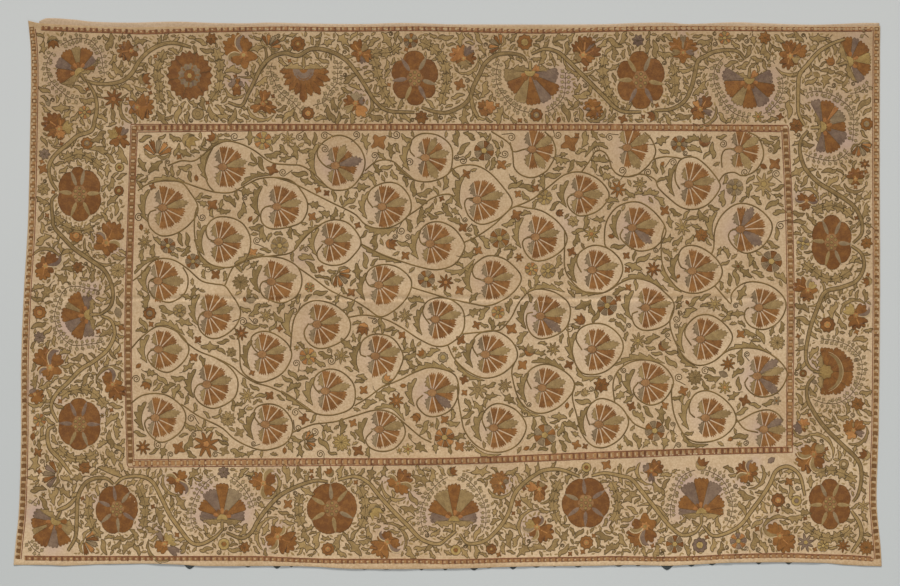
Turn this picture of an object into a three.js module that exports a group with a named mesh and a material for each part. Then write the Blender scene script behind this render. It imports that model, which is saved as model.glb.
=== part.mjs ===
import * as THREE from "three";

// A large embroidered bed cover, laid flat with its worked face up.
// Millimetres, +Z up, the head of the cover towards +Y. The origin is under its middle, on the
// surface that it lies on. The ground cloth has a plain heading strip behind its upper edge, and a
// narrow stretch of dark lining behind its lower hem.

// Driving dimensions
const CLOTH_THICK = 1.6; // cotton with silk worked all over it
const STRIP_THICK = 1.0; // plain strips behind the two long edges
const SEAM_GAP = 0.3; // between a strip and the cloth above it
const TUCK = 28; // how far a strip runs in under the cloth
const TUCK_FULL = 34; // the cloth lies at its full lift this far in from its edge
const TUCK_END = 62; // and is down on the surface again this far in
const LOW_Y = -815; // nominal lower hem
const HIGH_Y = 803; // nominal upper edge
const CREASE_Y = -15; // the sharp fold along the middle
const COLUMNS = 56;
const ROWS_BELOW_CREASE = 16;
const ROWS_ABOVE_CREASE = 16;

// Edges of the ground cloth, each a smooth line through a few places
const LEFT_EDGE = [
  { along: -815, out: -1303 }, { along: -750, out: -1297 }, { along: -650, out: -1287 },
  { along: -450, out: -1281 }, { along: -200, out: -1280 }, { along: 0, out: -1272 },
  { along: 200, out: -1260 }, { along: 450, out: -1254 }, { along: 700, out: -1251 },
  { along: 815, out: -1260 },
];
const RIGHT_EDGE = [
  { along: -817, out: 1301 }, { along: -750, out: 1297 }, { along: -650, out: 1287 },
  { along: -580, out: 1286 }, { along: -400, out: 1292 }, { along: 0, out: 1296 },
  { along: 400, out: 1295 }, { along: 804, out: 1296 },
];
const UPPER_EDGE = [
  { along: -1260, out: 820 }, { along: -1225, out: 812 }, { along: -1100, out: 804 },
  { along: -950, out: 799 }, { along: -850, out: 801 }, { along: -600, out: 802 },
  { along: 400, out: 802 }, { along: 700, out: 804 }, { along: 1000, out: 803 },
  { along: 1200, out: 802 }, { along: 1296, out: 804 },
];
const LOWER_EDGE = [
  { along: -1303, out: -813 }, { along: -1200, out: -813 }, { along: -1150, out: -815 },
  { along: -1050, out: -811 }, { along: -900, out: -809 }, { along: -800, out: -812 },
  { along: -740, out: -816 }, { along: -500, out: -816 }, { along: -400, out: -818 },
  { along: -300, out: -824 }, { along: -150, out: -825 }, { along: 50, out: -823 },
  { along: 200, out: -818 }, { along: 450, out: -815 }, { along: 550, out: -813 },
  { along: 660, out: -815 }, { along: 750, out: -811 }, { along: 850, out: -806 },
  { along: 1020, out: -805 }, { along: 1130, out: -807 }, { along: 1200, out: -813 },
  { along: 1301, out: -817 },
];

// Outer edge of the heading strip
const HEADING_EDGE = [
  { along: -1226, out: 818 }, { along: -1205, out: 827 }, { along: -1120, out: 823 },
  { along: -1070, out: 817 }, { along: -950, out: 814 }, { along: -820, out: 817 },
  { along: -700, out: 813 }, { along: -600, out: 812 }, { along: -540, out: 814 },
  { along: -400, out: 811 }, { along: -250, out: 810 }, { along: -150, out: 813 },
  { along: -50, out: 811 }, { along: 0, out: 809 }, { along: 450, out: 809 },
  { along: 570, out: 813 }, { along: 660, out: 814 }, { along: 720, out: 810 },
  { along: 860, out: 815 }, { along: 950, out: 812 }, { along: 1100, out: 808 },
  { along: 1250, out: 813 }, { along: 1294, out: 813 },
];

// Where the lining hangs out below the hem: middle of each sag, its width, and how low it reaches
const LINING_START = -860;
const LINING_END = 1080;
const LINING_BACK = 3; // elsewhere it ends this far inside the hem
const LINING_SAGS = [
  { middle: -775, width: 48, low: 825 }, { middle: -600, width: 34, low: 820 },
  { middle: -513, width: 38, low: 824 }, { middle: -470, width: 24, low: 820 },
  { middle: -250, width: 40, low: 827 }, { middle: -185, width: 56, low: 827 },
  { middle: -80, width: 24, low: 829 }, { middle: -8, width: 26, low: 829 },
  { middle: 78, width: 42, low: 829 }, { middle: 122, width: 34, low: 823 },
  { middle: 195, width: 36, low: 826 }, { middle: 265, width: 40, low: 821 },
  { middle: 320, width: 26, low: 819 }, { middle: 390, width: 44, low: 820 },
  { middle: 512, width: 50, low: 818 }, { middle: 570, width: 34, low: 817 },
  { middle: 657, width: 52, low: 828 }, { middle: 730, width: 36, low: 818 },
  { middle: 792, width: 40, low: 814 }, { middle: 932, width: 32, low: 811 },
  { middle: 1022, width: 36, low: 811 },
];

// Folds and soft ripples that stand off the surface: the middle of each ridge line, its turn from
// the X axis in degrees, its length, its full width and its height
const FOLDS = [
  { x: 0, y: CREASE_Y, turn: 0, long: 2700, wide: 92, high: 2.5 },
  { x: -875, y: -655, turn: -52, long: 330, wide: 110, high: 7 },
  { x: -1180, y: -560, turn: 12, long: 250, wide: 120, high: 5 },
  { x: -1075, y: 690, turn: 82, long: 260, wide: 120, high: 6 },
  { x: -640, y: -640, turn: 68, long: 240, wide: 110, high: 4 },
  { x: 10, y: -492, turn: 2, long: 420, wide: 100, high: 5 },
  { x: 700, y: -452, turn: 4, long: 380, wide: 110, high: 5 },
  { x: 905, y: -720, turn: 48, long: 300, wide: 110, high: 6 },
  { x: 1190, y: 585, turn: -58, long: 260, wide: 120, high: 5 },
  { x: 1010, y: -120, turn: 78, long: 460, wide: 130, high: 4 },
  { x: 250, y: -330, turn: 35, long: 420, wide: 130, high: 4 },
  { x: -820, y: 420, turn: 18, long: 360, wide: 120, high: 4 },
  { x: 420, y: 620, turn: 80, long: 260, wide: 110, high: 4 },
  { x: -330, y: 610, turn: 74, long: 240, wide: 110, high: 4 },
  { x: -1200, y: 130, turn: 84, long: 420, wide: 110, high: 5 },
];

// 0 below low, 1 above high, and an S curve between
function ease(low, high, value) {
  const t = Math.min(1, Math.max(0, (value - low) / (high - low)));
  return t * t * (3 - 2 * t);
}

// A smooth line through rows of { along, out }, flat past its ends
function follow(rows, at) {
  const last = rows.length - 1;
  if (at <= rows[0].along) return rows[0].out;
  if (at >= rows[last].along) return rows[last].out;
  const i = rows.findIndex((row) => row.along > at) - 1;
  const slope = (k) => {
    const before = rows[Math.max(0, k - 1)];
    const after = rows[Math.min(last, k + 1)];
    return (after.out - before.out) / (after.along - before.along);
  };
  const span = rows[i + 1].along - rows[i].along;
  const t = (at - rows[i].along) / span;
  const h00 = (1 + 2 * t) * (1 - t) ** 2;
  const h10 = t * (1 - t) ** 2;
  const h01 = t * t * (3 - 2 * t);
  const h11 = t * t * (t - 1);
  return h00 * rows[i].out + h10 * span * slope(i) + h01 * rows[i + 1].out + h11 * span * slope(i + 1);
}

// Height of the cloth's underside where a fold or ripple stands off the surface
function foldHeight(x, y) {
  let height = 0;
  for (const fold of FOLDS) {
    const turn = THREE.MathUtils.degToRad(fold.turn);
    const along = (x - fold.x) * Math.cos(turn) + (y - fold.y) * Math.sin(turn);
    const across = (y - fold.y) * Math.cos(turn) - (x - fold.x) * Math.sin(turn);
    const side = 1 - ease(0, fold.wide / 2, Math.abs(across));
    const end = 1 - ease(fold.long * 0.25, fold.long / 2, Math.abs(along));
    height += fold.high * side * end;
  }
  return height;
}

// Height of the cloth's underside over the strips behind its two long edges
function stripLift(x, y) {
  const fromUpper = follow(UPPER_EDGE, x) - y;
  const fromLower = y - follow(LOWER_EDGE, x);
  const overLining = ease(LINING_START - 70, LINING_START - 10, x) * (1 - ease(LINING_END + 10, LINING_END + 70, x));
  const upper = 1 - ease(TUCK_FULL, TUCK_END, fromUpper);
  const lower = (1 - ease(TUCK_FULL, TUCK_END, fromLower)) * overLining;
  return (STRIP_THICK + SEAM_GAP) * Math.max(upper, lower);
}

// A closed sheet over a grid of plan points: plan[row][column] = [x, y], with a lower and an upper side
function sheetGeometry(plan, underside, thick) {
  const rows = plan.length;
  const columns = plan[0].length;
  const positions = [];
  for (const side of [0, thick]) {
    for (const line of plan) {
      for (const [x, y] of line) positions.push(x, y, underside(x, y) + side);
    }
  }
  const low = (r, c) => r * columns + c;
  const top = (r, c) => rows * columns + low(r, c);
  const faces = [];
  const quad = (a, b, c, d) => faces.push(a, b, c, a, c, d);
  for (let r = 0; r < rows - 1; r++) {
    for (let c = 0; c < columns - 1; c++) {
      quad(top(r, c), top(r, c + 1), top(r + 1, c + 1), top(r + 1, c));
      quad(low(r, c), low(r + 1, c), low(r + 1, c + 1), low(r, c + 1));
    }
  }
  for (let c = 0; c < columns - 1; c++) {
    quad(low(0, c), low(0, c + 1), top(0, c + 1), top(0, c));
    quad(low(rows - 1, c + 1), low(rows - 1, c), top(rows - 1, c), top(rows - 1, c + 1));
  }
  for (let r = 0; r < rows - 1; r++) {
    quad(low(r + 1, 0), low(r, 0), top(r, 0), top(r + 1, 0));
    quad(low(r, columns - 1), low(r + 1, columns - 1), top(r + 1, columns - 1), top(r, columns - 1));
  }
  const geometry = new THREE.BufferGeometry();
  geometry.setAttribute("position", new THREE.Float32BufferAttribute(positions, 3));
  geometry.setIndex(faces);
  geometry.computeVertexNormals();
  return geometry;
}

// Evenly spaced values from one end to the other, both ends included
function spread(from, to, count) {
  return Array.from({ length: count + 1 }, (_, i) => from + ((to - from) * i) / count);
}

// The ground cloth's grid follows its four uneven edges, and has a row on the sharp fold
function coverPlan() {
  const hemRows = [0, 17, TUCK_FULL];
  const rowHeights = [
    ...hemRows.map((inset) => LOW_Y + inset),
    ...spread(LOW_Y + TUCK_END, CREASE_Y, ROWS_BELOW_CREASE),
    ...spread(CREASE_Y, HIGH_Y - TUCK_END, ROWS_ABOVE_CREASE).slice(1),
    ...hemRows.map((inset) => HIGH_Y - inset).reverse(),
  ];
  return rowHeights.map((nominal) => {
    const share = (nominal - LOW_Y) / (HIGH_Y - LOW_Y);
    const left = follow(LEFT_EDGE, nominal);
    const right = follow(RIGHT_EDGE, nominal);
    return spread(left, right, COLUMNS).map((x) => {
      const low = follow(LOWER_EDGE, x);
      const high = follow(UPPER_EDGE, x);
      const nearLow = low + (nominal - LOW_Y);
      const nearHigh = high - (HIGH_Y - nominal);
      return [x, THREE.MathUtils.lerp(nearLow, nearHigh, ease(0.06, 0.94, share))];
    });
  });
}

function headingPlan() {
  const start = HEADING_EDGE[0].along;
  const end = HEADING_EDGE[HEADING_EDGE.length - 1].along;
  const stations = spread(start, end, 84);
  const inner = stations.map((x) => [x, follow(UPPER_EDGE, x) - TUCK]);
  const seam = stations.map((x) => [x, follow(UPPER_EDGE, x) - 1]);
  const outer = stations.map((x) => [x, follow(HEADING_EDGE, x)]);
  return [inner, seam, outer];
}

function liningReach(x) {
  const hem = follow(LOWER_EDGE, x) + LINING_BACK;
  let reach = hem;
  for (const sag of LINING_SAGS) {
    const drop = 1 - ease(0, sag.width / 2, Math.abs(x - sag.middle));
    reach = Math.min(reach, THREE.MathUtils.lerp(hem, -sag.low, drop));
  }
  return reach;
}

function liningPlan() {
  const stations = spread(LINING_START, LINING_END, 194);
  const outer = stations.map((x) => [x, liningReach(x)]);
  const inner = stations.map((x) => [x, follow(LOWER_EDGE, x) + TUCK]);
  return [outer, inner];
}

function piece(name, geometry, color, roughness) {
  const mesh = new THREE.Mesh(geometry, new THREE.MeshStandardMaterial({ color, roughness, metalness: 0 }));
  mesh.name = name;
  return mesh;
}

const flatUnderside = () => 0;
const coverUnderside = (x, y) => Math.max(foldHeight(x, y), stripLift(x, y));

const bedCover = new THREE.Group();
bedCover.add(piece("cover", sheetGeometry(coverPlan(), coverUnderside, CLOTH_THICK), 0xb39a6c, 0.85));
bedCover.add(piece("heading_strip", sheetGeometry(headingPlan(), flatUnderside, STRIP_THICK), 0xc4b18c, 0.9));
bedCover.add(piece("lining_strip", sheetGeometry(liningPlan(), flatUnderside, STRIP_THICK), 0x3a4040, 0.9));

export default bedCover;
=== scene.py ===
"""A wide cotton bed cover laid flat, its worked face up: silk palmettes, vines and flower borders.

Plans of the pattern are in centimetres from the cover's middle, X to the right and Y towards the
heading strip. Meshes are in metres."""
import math

import bpy
import numpy as np
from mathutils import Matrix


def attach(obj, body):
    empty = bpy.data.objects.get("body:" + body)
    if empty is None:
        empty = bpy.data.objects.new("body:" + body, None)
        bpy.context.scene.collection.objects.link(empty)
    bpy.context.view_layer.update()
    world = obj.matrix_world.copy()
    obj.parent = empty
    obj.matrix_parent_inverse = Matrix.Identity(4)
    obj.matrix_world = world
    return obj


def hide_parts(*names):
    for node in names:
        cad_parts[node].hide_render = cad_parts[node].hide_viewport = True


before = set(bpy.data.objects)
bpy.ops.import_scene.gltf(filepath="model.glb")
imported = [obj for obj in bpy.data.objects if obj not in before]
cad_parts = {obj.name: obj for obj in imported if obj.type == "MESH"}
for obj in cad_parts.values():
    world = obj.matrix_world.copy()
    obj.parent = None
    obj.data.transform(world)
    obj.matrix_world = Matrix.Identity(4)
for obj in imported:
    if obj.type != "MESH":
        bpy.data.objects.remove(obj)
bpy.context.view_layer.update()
CM = 0.01

# The camera looks straight down from above the middle, as the photograph does, so that its 900 pixels
# take in 2.7 m. A plain pale floor carries the cover, under a broad low light from beyond the upper
# edge and a weak soft one beyond the lower edge.
VIEW_WIDTH = 2.7
LENS = 85
SENSOR = 36
VIEW_MIDDLE = (0.006, 0.003)
ROOM_COLOUR = (0.97, 0.97, 0.96, 1)
ROOM_LIGHT = 0.36
WINDOW_LIGHT = 3.44
WINDOW_COLOUR = (1.0, 0.97, 0.93)
WINDOW_SPREAD = math.radians(14)
WINDOW_TURN = (math.radians(-62), math.radians(-14), 0)
PANEL_LIGHT = 46
PANEL_SIZE = 3.4
PANEL_PLACE = (0.2, -3.0, 2.3)
PANEL_TURN = (math.radians(52), 0, 0)


def place_object(name, data):
    """A new object in the scene."""
    made = bpy.data.objects.new(name, data)
    bpy.context.scene.collection.objects.link(made)
    return made


camera_data = bpy.data.cameras.new("camera")
camera_data.lens = LENS
camera_data.sensor_width = SENSOR
camera = place_object("camera", camera_data)
camera.location = (*VIEW_MIDDLE, VIEW_WIDTH * LENS / SENSOR)
bpy.context.scene.camera = camera
world = bpy.data.worlds.new("room")
world.use_nodes = True
world.node_tree.nodes["Background"].inputs["Color"].default_value = ROOM_COLOUR
world.node_tree.nodes["Background"].inputs["Strength"].default_value = ROOM_LIGHT
bpy.context.scene.world = world
window_data = bpy.data.lights.new("window", "SUN")
window_data.energy = WINDOW_LIGHT
window_data.angle = WINDOW_SPREAD
window_data.color = WINDOW_COLOUR
window = place_object("window", window_data)
window.rotation_euler = WINDOW_TURN
panel_data = bpy.data.lights.new("near_panel", "AREA")
panel_data.size = PANEL_SIZE
panel_data.energy = PANEL_LIGHT
panel = place_object("near_panel", panel_data)
panel.location = PANEL_PLACE
panel.rotation_euler = PANEL_TURN
bpy.context.scene.view_settings.view_transform = "Standard"


class Link:
    """One node socket. Sums and products of it add Math nodes to its graph."""

    def __init__(self, graph, socket):
        self.graph = graph
        self.socket = socket

    def maths(self, operation, first, second):
        return self.graph.node("ShaderNodeMath", {"operation": operation}, {0: first, 1: second})

    def __add__(self, other):
        return self.maths("ADD", self, other)

    def __sub__(self, other):
        return self.maths("SUBTRACT", self, other)

    def __rsub__(self, other):
        return self.maths("SUBTRACT", other, self)

    def __mul__(self, other):
        return self.maths("MULTIPLY", self, other)

    __radd__ = __add__
    __rmul__ = __mul__

    def wave(self):
        """Sine of this value."""
        return self.maths("SINE", self, 0.0)

    def between(self, low, high):
        """0 below low, 1 above high."""
        settings = {"interpolation_type": "SMOOTHSTEP"}
        limits = {"Value": self, "From Min": low, "From Max": high}
        return self.graph.node("ShaderNodeMapRange", settings, limits)


class Graph:
    """A node tree with one method that adds any node."""

    def __init__(self, tree):
        self.tree = tree

    def node(self, kind, settings=None, inputs=None, output=0):
        made = self.tree.nodes.new(kind)
        for name, value in (settings or {}).items():
            setattr(made, name, value)
        for name, value in (inputs or {}).items():
            if isinstance(value, Link):
                self.tree.links.new(value.socket, made.inputs[name])
            else:
                made.inputs[name].default_value = value
        return Link(self, made.outputs[output])

    def mix(self, share, first, second):
        """One colour from two."""
        return self.node("ShaderNodeMix", {"data_type": "RGBA"}, {0: share, 6: first, 7: second}, 2)

    def parts(self, vector):
        """X, Y and Z of a vector."""
        split = self.node("ShaderNodeSeparateXYZ", inputs={0: vector}).socket.node
        return [Link(self, socket) for socket in split.outputs]

    def noise(self, place, scale, detail=2.0):
        return self.node("ShaderNodeTexNoise", inputs={"Vector": place, "Scale": scale, "Detail": detail})

    def relief(self, height, strength, distance):
        inputs = {"Height": height, "Strength": strength, "Distance": distance}
        return self.node("ShaderNodeBump", inputs=inputs)


def colour(red, green, blue):
    """A shader colour from screen values of 0 to 255."""
    parts = [v / 255 for v in (red, green, blue)]
    return (*[v / 12.92 if v < 0.04045 else ((v + 0.055) / 1.055) ** 2.4 for v in parts], 1.0)


def finish(name, roughness, sheen):
    """A new material with its graph and its Principled node."""
    material = bpy.data.materials.new(name)
    material.use_nodes = True
    graph = Graph(material.node_tree)
    shader = material.node_tree.nodes["Principled BSDF"]
    shader.inputs["Roughness"].default_value = roughness
    shader.inputs["Specular IOR Level"].default_value = 0.25
    shader.inputs["Sheen Weight"].default_value = sheen
    return material, graph, shader


def feed(shader, inputs):
    """Joins links to a shader's sockets, by their names."""
    for name, link in inputs.items():
        link.graph.tree.links.new(link.socket, shader.inputs[name])


floor_material, floor_graph, floor_shader = finish("floor", 0.9, 0.0)
floor_place = floor_graph.node("ShaderNodeTexCoord", output=3)
# The floor's grey has soft random clouds of tone and is painted lighter towards its upper side, a painted
# light.
floor_cloud = floor_graph.noise(floor_place, 0.7)
floor_tone_and_painted_light = floor_graph.parts(floor_place)[1].between(-1.2, 0.8) * 0.75 + floor_cloud * 0.3
floor_body = floor_graph.mix(floor_tone_and_painted_light, colour(180, 184, 184), colour(202, 205, 205))
feed(floor_shader, {"Base Color": floor_body})
FLOOR_HALF = 6.0
FLOOR_DROP = -0.0005
floor_mesh = bpy.data.meshes.new("floor")
corners = [(-1, -1), (1, -1), (1, 1), (-1, 1)]
floor_points = [(x * FLOOR_HALF, y * FLOOR_HALF, FLOOR_DROP) for x, y in corners]
floor_mesh.from_pydata(floor_points, [], [(0, 1, 2, 3)])
floor_mesh.materials.append(floor_material)
floor = place_object("floor", floor_mesh)

# Ground cloth: one wide panel of cream cotton, yellowed and soft, with narrow turned hems. It lies
# flat with a sharp fold along its middle and low ripples where the silk has pulled it.
CLOTH_THICK = 0.16
STRIP_THICK = 0.1
SEAM_GAP = 0.03
TUCK = 2.8
TUCK_FULL = 3.4
TUCK_END = 6.2
LOW_Y = -81.5
HIGH_Y = 80.3
CREASE_Y = -1.5
HEM_RISE = 0.03
HEM_WIDE = 1.1


def path(values, columns=2):
    """Places, or rows of another width, from a run of values."""
    values = values.split() if isinstance(values, str) else values
    return np.array(values, float).reshape(-1, columns)


def table(text):
    """The rows of a table, with a semicolon after each, as lists of words."""
    return [row.split() for row in text.strip().strip(";").split(";")]


LEFT_EDGE = path("""
-81.5 -130.3 -75 -129.7 -65 -128.7 -45 -128.1 -20 -128 0 -127.2 20 -126 45 -125.4 70 -125.1 81.5 -126""")
RIGHT_EDGE = path("-81.7 130.1 -75 129.7 -65 128.7 -58 128.6 -40 129.2 0 129.6 40 129.5 80.4 129.6")
UPPER_EDGE = path("""
-126 82 -122.5 81.2 -110 80.4 -95 79.9 -85 80.1 -60 80.2 40 80.2 70 80.4 100 80.3 120 80.2 129.6 80.4""")
LOWER_EDGE = path("""
-130.3 -81.3 -120 -81.3 -115 -81.5 -105 -81.1 -90 -80.9 -80 -81.2 -74 -81.6 -50 -81.6 -40 -81.8 -30 -82.4
-15 -82.5 5 -82.3 20 -81.8 45 -81.5 55 -81.3 66 -81.5 75 -81.1 85 -80.6 102 -80.5 113 -80.7 120 -81.3
130.1 -81.7""")
LINING_START = -86
LINING_END = 108
# Ridge lines: middle x, y, turn from X in degrees, length, full width, height
FOLDS = np.concatenate([[(0, CREASE_Y, 0, 270, 9.2, 0.3), (0, CREASE_Y, 0, 262, 1.9, -0.2)], path("""
-87.5 -65.5 -52 33 7.5 0.55 -118 -56 12 25 8 0.4 -107.5 69 82 26 8 0.45 -64 -64 68 24 7 0.35 1 -49.2 2 42
6 0.42 70 -45.2 4 38 7 0.42 90.5 -72 48 30 7.5 0.5 119 58.5 -58 26 8 0.4 101 -12 78 46 9 0.35 5 -18 52 36
5.2 0.28 13 -29 59 36 5.2 0.28 35 -39 35 28 5.2 0.26 25 -22 54 30 5 0.22 33 -53 0 24 5 0.25 -82 42 18 36
9 0.32 42 62 80 26 8 0.35 -33 61 74 24 8 0.35 -120 13 84 42 8 0.4 95 37.5 0 17 3.4 0.12 21 37.5 0 12 3.4
0.1 86.5 6 0 10 3.4 0.1""", 6)])
# The silk's pull leaves these shallow waves: length along X and Y, start, depth
PUCKERS = path("7.3 9.1 0.4 0.022 11.9 -6.7 1.9 0.018 -17.3 13.1 4.1 0.03", 4)


def ease(low, high, value):
    """0 below low, 1 above high, and an S curve between."""
    t = np.clip((value - low) / (high - low), 0, 1)
    return t * t * (3 - 2 * t)


def follow(rows, at):
    """A smooth line through rows of (along, out), flat past its ends."""
    along, out = np.array(rows, float).T
    before = np.maximum(np.arange(len(along)) - 1, 0)
    after = np.minimum(np.arange(len(along)) + 1, len(along) - 1)
    slope = (out[after] - out[before]) / (along[after] - along[before])
    at = np.clip(np.asarray(at, float), along[0], along[-1])
    i = np.clip(np.searchsorted(along, at, side="right") - 1, 0, len(along) - 2)
    span = along[i + 1] - along[i]
    t = (at - along[i]) / span
    ends = (1 + 2 * t) * (1 - t) ** 2 * out[i] + t * t * (3 - 2 * t) * out[i + 1]
    return ends + span * (t * (1 - t) ** 2 * slope[i] + t * t * (t - 1) * slope[i + 1])


def underside(x, y):
    """Height of the cloth's underside over its folds and over the strips behind its long edges."""
    height = np.zeros(np.shape(x))
    for middle_x, middle_y, turn, length, width, high in FOLDS:
        cos, sin = math.cos(math.radians(turn)), math.sin(math.radians(turn))
        along = (x - middle_x) * cos + (y - middle_y) * sin
        across = (y - middle_y) * cos - (x - middle_x) * sin
        side = 1 - ease(0, width / 2, abs(across))
        height = height + high * side * (1 - ease(length / 4, length / 2, abs(along)))
    over_lining = ease(LINING_START - 7, LINING_START - 1, x) * (1 - ease(LINING_END + 1, LINING_END + 7, x))
    upper = 1 - ease(TUCK_FULL, TUCK_END, follow(UPPER_EDGE, x) - y)
    lower = (1 - ease(TUCK_FULL, TUCK_END, y - follow(LOWER_EDGE, x))) * over_lining
    return np.maximum(height, (STRIP_THICK + SEAM_GAP) * np.maximum(upper, lower))


def cloth_top(x, y):
    """Height of the worked face."""
    height = underside(x, y) + CLOTH_THICK
    for long_x, long_y, start, deep in PUCKERS:
        height = height + deep * np.sin(2 * math.pi * (x / long_x + y / long_y) + start)
    return height


def new_piece(name, points, quads, threes, material):
    """A mesh object from points in centimetres and arrays of four- and three-cornered faces."""
    quads = np.asarray(quads, int).reshape(-1, 4)
    threes = np.asarray(threes, int).reshape(-1, 3)
    loops = np.concatenate([quads.ravel(), threes.ravel()])
    starts = np.concatenate([np.arange(len(quads)) * 4, len(quads) * 4 + np.arange(len(threes)) * 3])
    mesh = bpy.data.meshes.new(name)
    mesh.vertices.add(len(points))
    mesh.vertices.foreach_set("co", (np.asarray(points) * CM).ravel())
    mesh.loops.add(len(loops))
    mesh.loops.foreach_set("vertex_index", loops)
    mesh.polygons.add(len(starts))
    mesh.polygons.foreach_set("loop_start", starts)
    mesh.update(calc_edges=True)
    mesh.validate()
    mesh.polygons.foreach_set("use_smooth", np.ones(len(mesh.polygons), bool))
    mesh.materials.append(material)
    return place_object(name, mesh)


def closed_sheet(name, plan_x, plan_y, low, high, material):
    """A closed sheet between two height arrays over a grid of plan points."""
    rows, columns = plan_x.shape
    top = np.arange(rows * columns).reshape(rows, columns)
    under = top + rows * columns
    points = [np.stack([plan_x, plan_y, z], -1).reshape(-1, 3) for z in (high, low)]
    grid = [top[:-1, :-1], top[:-1, 1:], top[1:, 1:], top[1:, :-1]]
    back = [under[:-1, :-1], under[1:, :-1], under[1:, 1:], under[:-1, 1:]]
    quads = [np.stack(grid, -1).reshape(-1, 4), np.stack(back, -1).reshape(-1, 4)]
    rim = np.concatenate([top[0, :-1], top[:-1, -1], top[-1, :0:-1], top[:0:-1, 0]])
    ahead = np.roll(rim, -1)
    quads.append(np.stack([rim, rim + rows * columns, ahead + rows * columns, ahead], -1))
    return new_piece(name, np.concatenate(points), np.concatenate(quads), [], material)


def cotton(name, pale, deep, pitch):
    """Worn plain-weave cotton, mottled between two colours, with slubs in its threads."""
    material, graph, shader = finish(name, 0.9, 0.08)
    place = graph.node("ShaderNodeTexCoord", output=3)
    grain = graph.noise(place, 170.0, 3.0)
    share = graph.noise(place, 3.2, 5.0).between(0.25, 0.75) * 0.4 + grain.between(0.2, 0.8) * 0.5 + 0.05
    across, along = [(part * (2 * math.pi / pitch)).wave() for part in graph.parts(place)[:2]]
    feed(shader, {"Normal": graph.relief(across * along * 0.5 + grain, 0.35, 0.0006)})
    return material, shader, graph.mix(share, deep, pale)


GROUND_PALE = colour(221, 196, 161)
GROUND_DEEP = colour(169, 136, 98)
LILAC = colour(188, 160, 146)
# The brown that the cotton is mixed towards by its soiling and by painted shade.
SOIL_AND_SHADE_BROWN = colour(150, 118, 74)
# Places where mauve dye has run into the cotton: x, y, spread, strength
STAINS = path("""
36 63 4.5 1 86 58 4 0.9 97 57 4 0.7 116 57 4 0.9 119 46 3.5 0.7 -61.5 63 4 0.6 -63 72 4 0.5 -17 66 3 0.3
-26 38 4 0.6 -24 13 4 0.4 -44 11 4 0.5 -2 46 3 0.4 60 29 4 0.6 83 31 5 0.6 36 21 4 0.5 62 3 4 0.4 72 -58
4 0.7 80 -60 4 0.7 -75 -58 4 0.7 -60 -62 3 0.5 -113 -8 3.5 0.8 49 -59 2.5 0.8 47.5 -68 2.5 0.7 -106.5 -62
2.5 0.8 -92 -69 2.5 0.7 -104 -36 2.5 0.6 -116 -32 2.5 0.6 121 -60 3 0.5 -106 2 3 0.6 -122 -66 4 0.7 -118
62 4 0.5 44 -60 3 0.4 110 -21 4 0.6 120 -30 4 0.5 -112 73 4 0.4 -45 -19 4 0.3 -10 -62 3 0.5""", 4)

ground_material, ground_shader, ground_body = cotton("cream_cotton", GROUND_PALE, GROUND_DEEP, 0.0016)
ground = ground_body.graph
# The cotton's colour is mixed towards that brown by an attribute that holds soiling together with painted
# shade and a painted highlight along the middle fold.
dye, soil_and_painted_light = (ground.node("ShaderNodeAttribute", {"attribute_name": name}, output=2)
             for name in ("dye", "soil_and_painted_light"))
feed(ground_shader, {"Base Color": ground.mix(soil_and_painted_light, ground.mix(dye, ground_body, LILAC), SOIL_AND_SHADE_BROWN)})

hem_rows = np.array([0, 0.12, 0.5, 0.95, 1.25, 2.2])
inner_rows = np.linspace(LOW_Y + TUCK_FULL, HIGH_Y - TUCK_FULL, 108)
crease_rows = CREASE_Y + np.array([-2.2, -1.5, -1.0, -0.6, -0.3, 0, 0.3, 0.6, 1.0, 1.5, 2.2])
inner_rows = np.sort(np.concatenate([inner_rows[abs(inner_rows - CREASE_Y) > 2.5], crease_rows]))
levels = np.concatenate([LOW_Y + hem_rows, inner_rows, (HIGH_Y - hem_rows)[::-1]])
hem_shares = np.array([0, 0.0006, 0.003, 0.0045])
shares = np.concatenate([hem_shares, np.linspace(0.008, 0.992, 184), 1 - hem_shares[::-1]])
left = follow(LEFT_EDGE, levels)[:, None]
right = follow(RIGHT_EDGE, levels)[:, None]
cover_x = left + (right - left) * shares[None, :]
near_low = follow(LOWER_EDGE, cover_x) + (levels - LOW_Y)[:, None]
near_high = follow(UPPER_EDGE, cover_x) - (HIGH_Y - levels)[:, None]
rise = ease(0.06, 0.94, (levels - LOW_Y) / (HIGH_Y - LOW_Y))[:, None]
cover_y = near_low + (near_high - near_low) * rise
inset = np.minimum.reduce([cover_x - left, right - cover_x, cover_y - follow(LOWER_EDGE, cover_x),
                           follow(UPPER_EDGE, cover_x) - cover_y])
cover_low = underside(cover_x, cover_y)
hem = HEM_RISE * (1 - ease(HEM_WIDE - 0.2, HEM_WIDE, inset)) - 0.06 * (1 - ease(0, 0.3, inset))
cover_high = cloth_top(cover_x, cover_y) + hem
cover = closed_sheet("cover_cloth", cover_x, cover_y, cover_low, cover_high, ground_material)
flat_x, flat_y = cover_x.ravel(), cover_y.ravel()
spread = np.zeros(len(flat_x))


def run_in(place, wide, strength):
    """Mauve dye that has run into the cotton round a place."""
    global spread
    away = (flat_x - place[0]) ** 2 + (flat_y - place[1]) ** 2
    spread = spread + strength * np.exp(-away / 2 / wide ** 2)


for x, y, wide, strength in STAINS:
    run_in((x, y), wide * 0.6, strength)
# Painted light along the middle fold: painted shade just above the crease and a painted highlight on it,
# over an even light soiling of the whole cloth.
painted_shade_above_fold = np.exp(-((flat_y - CREASE_Y - 0.9) / 0.7) ** 2)
painted_highlight_on_fold = np.exp(-((flat_y - CREASE_Y) / 0.45) ** 2)
soil_and_painted_crease_light = 0.12 + 0.286 * painted_shade_above_fold - 0.455 * painted_highlight_on_fold
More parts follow.
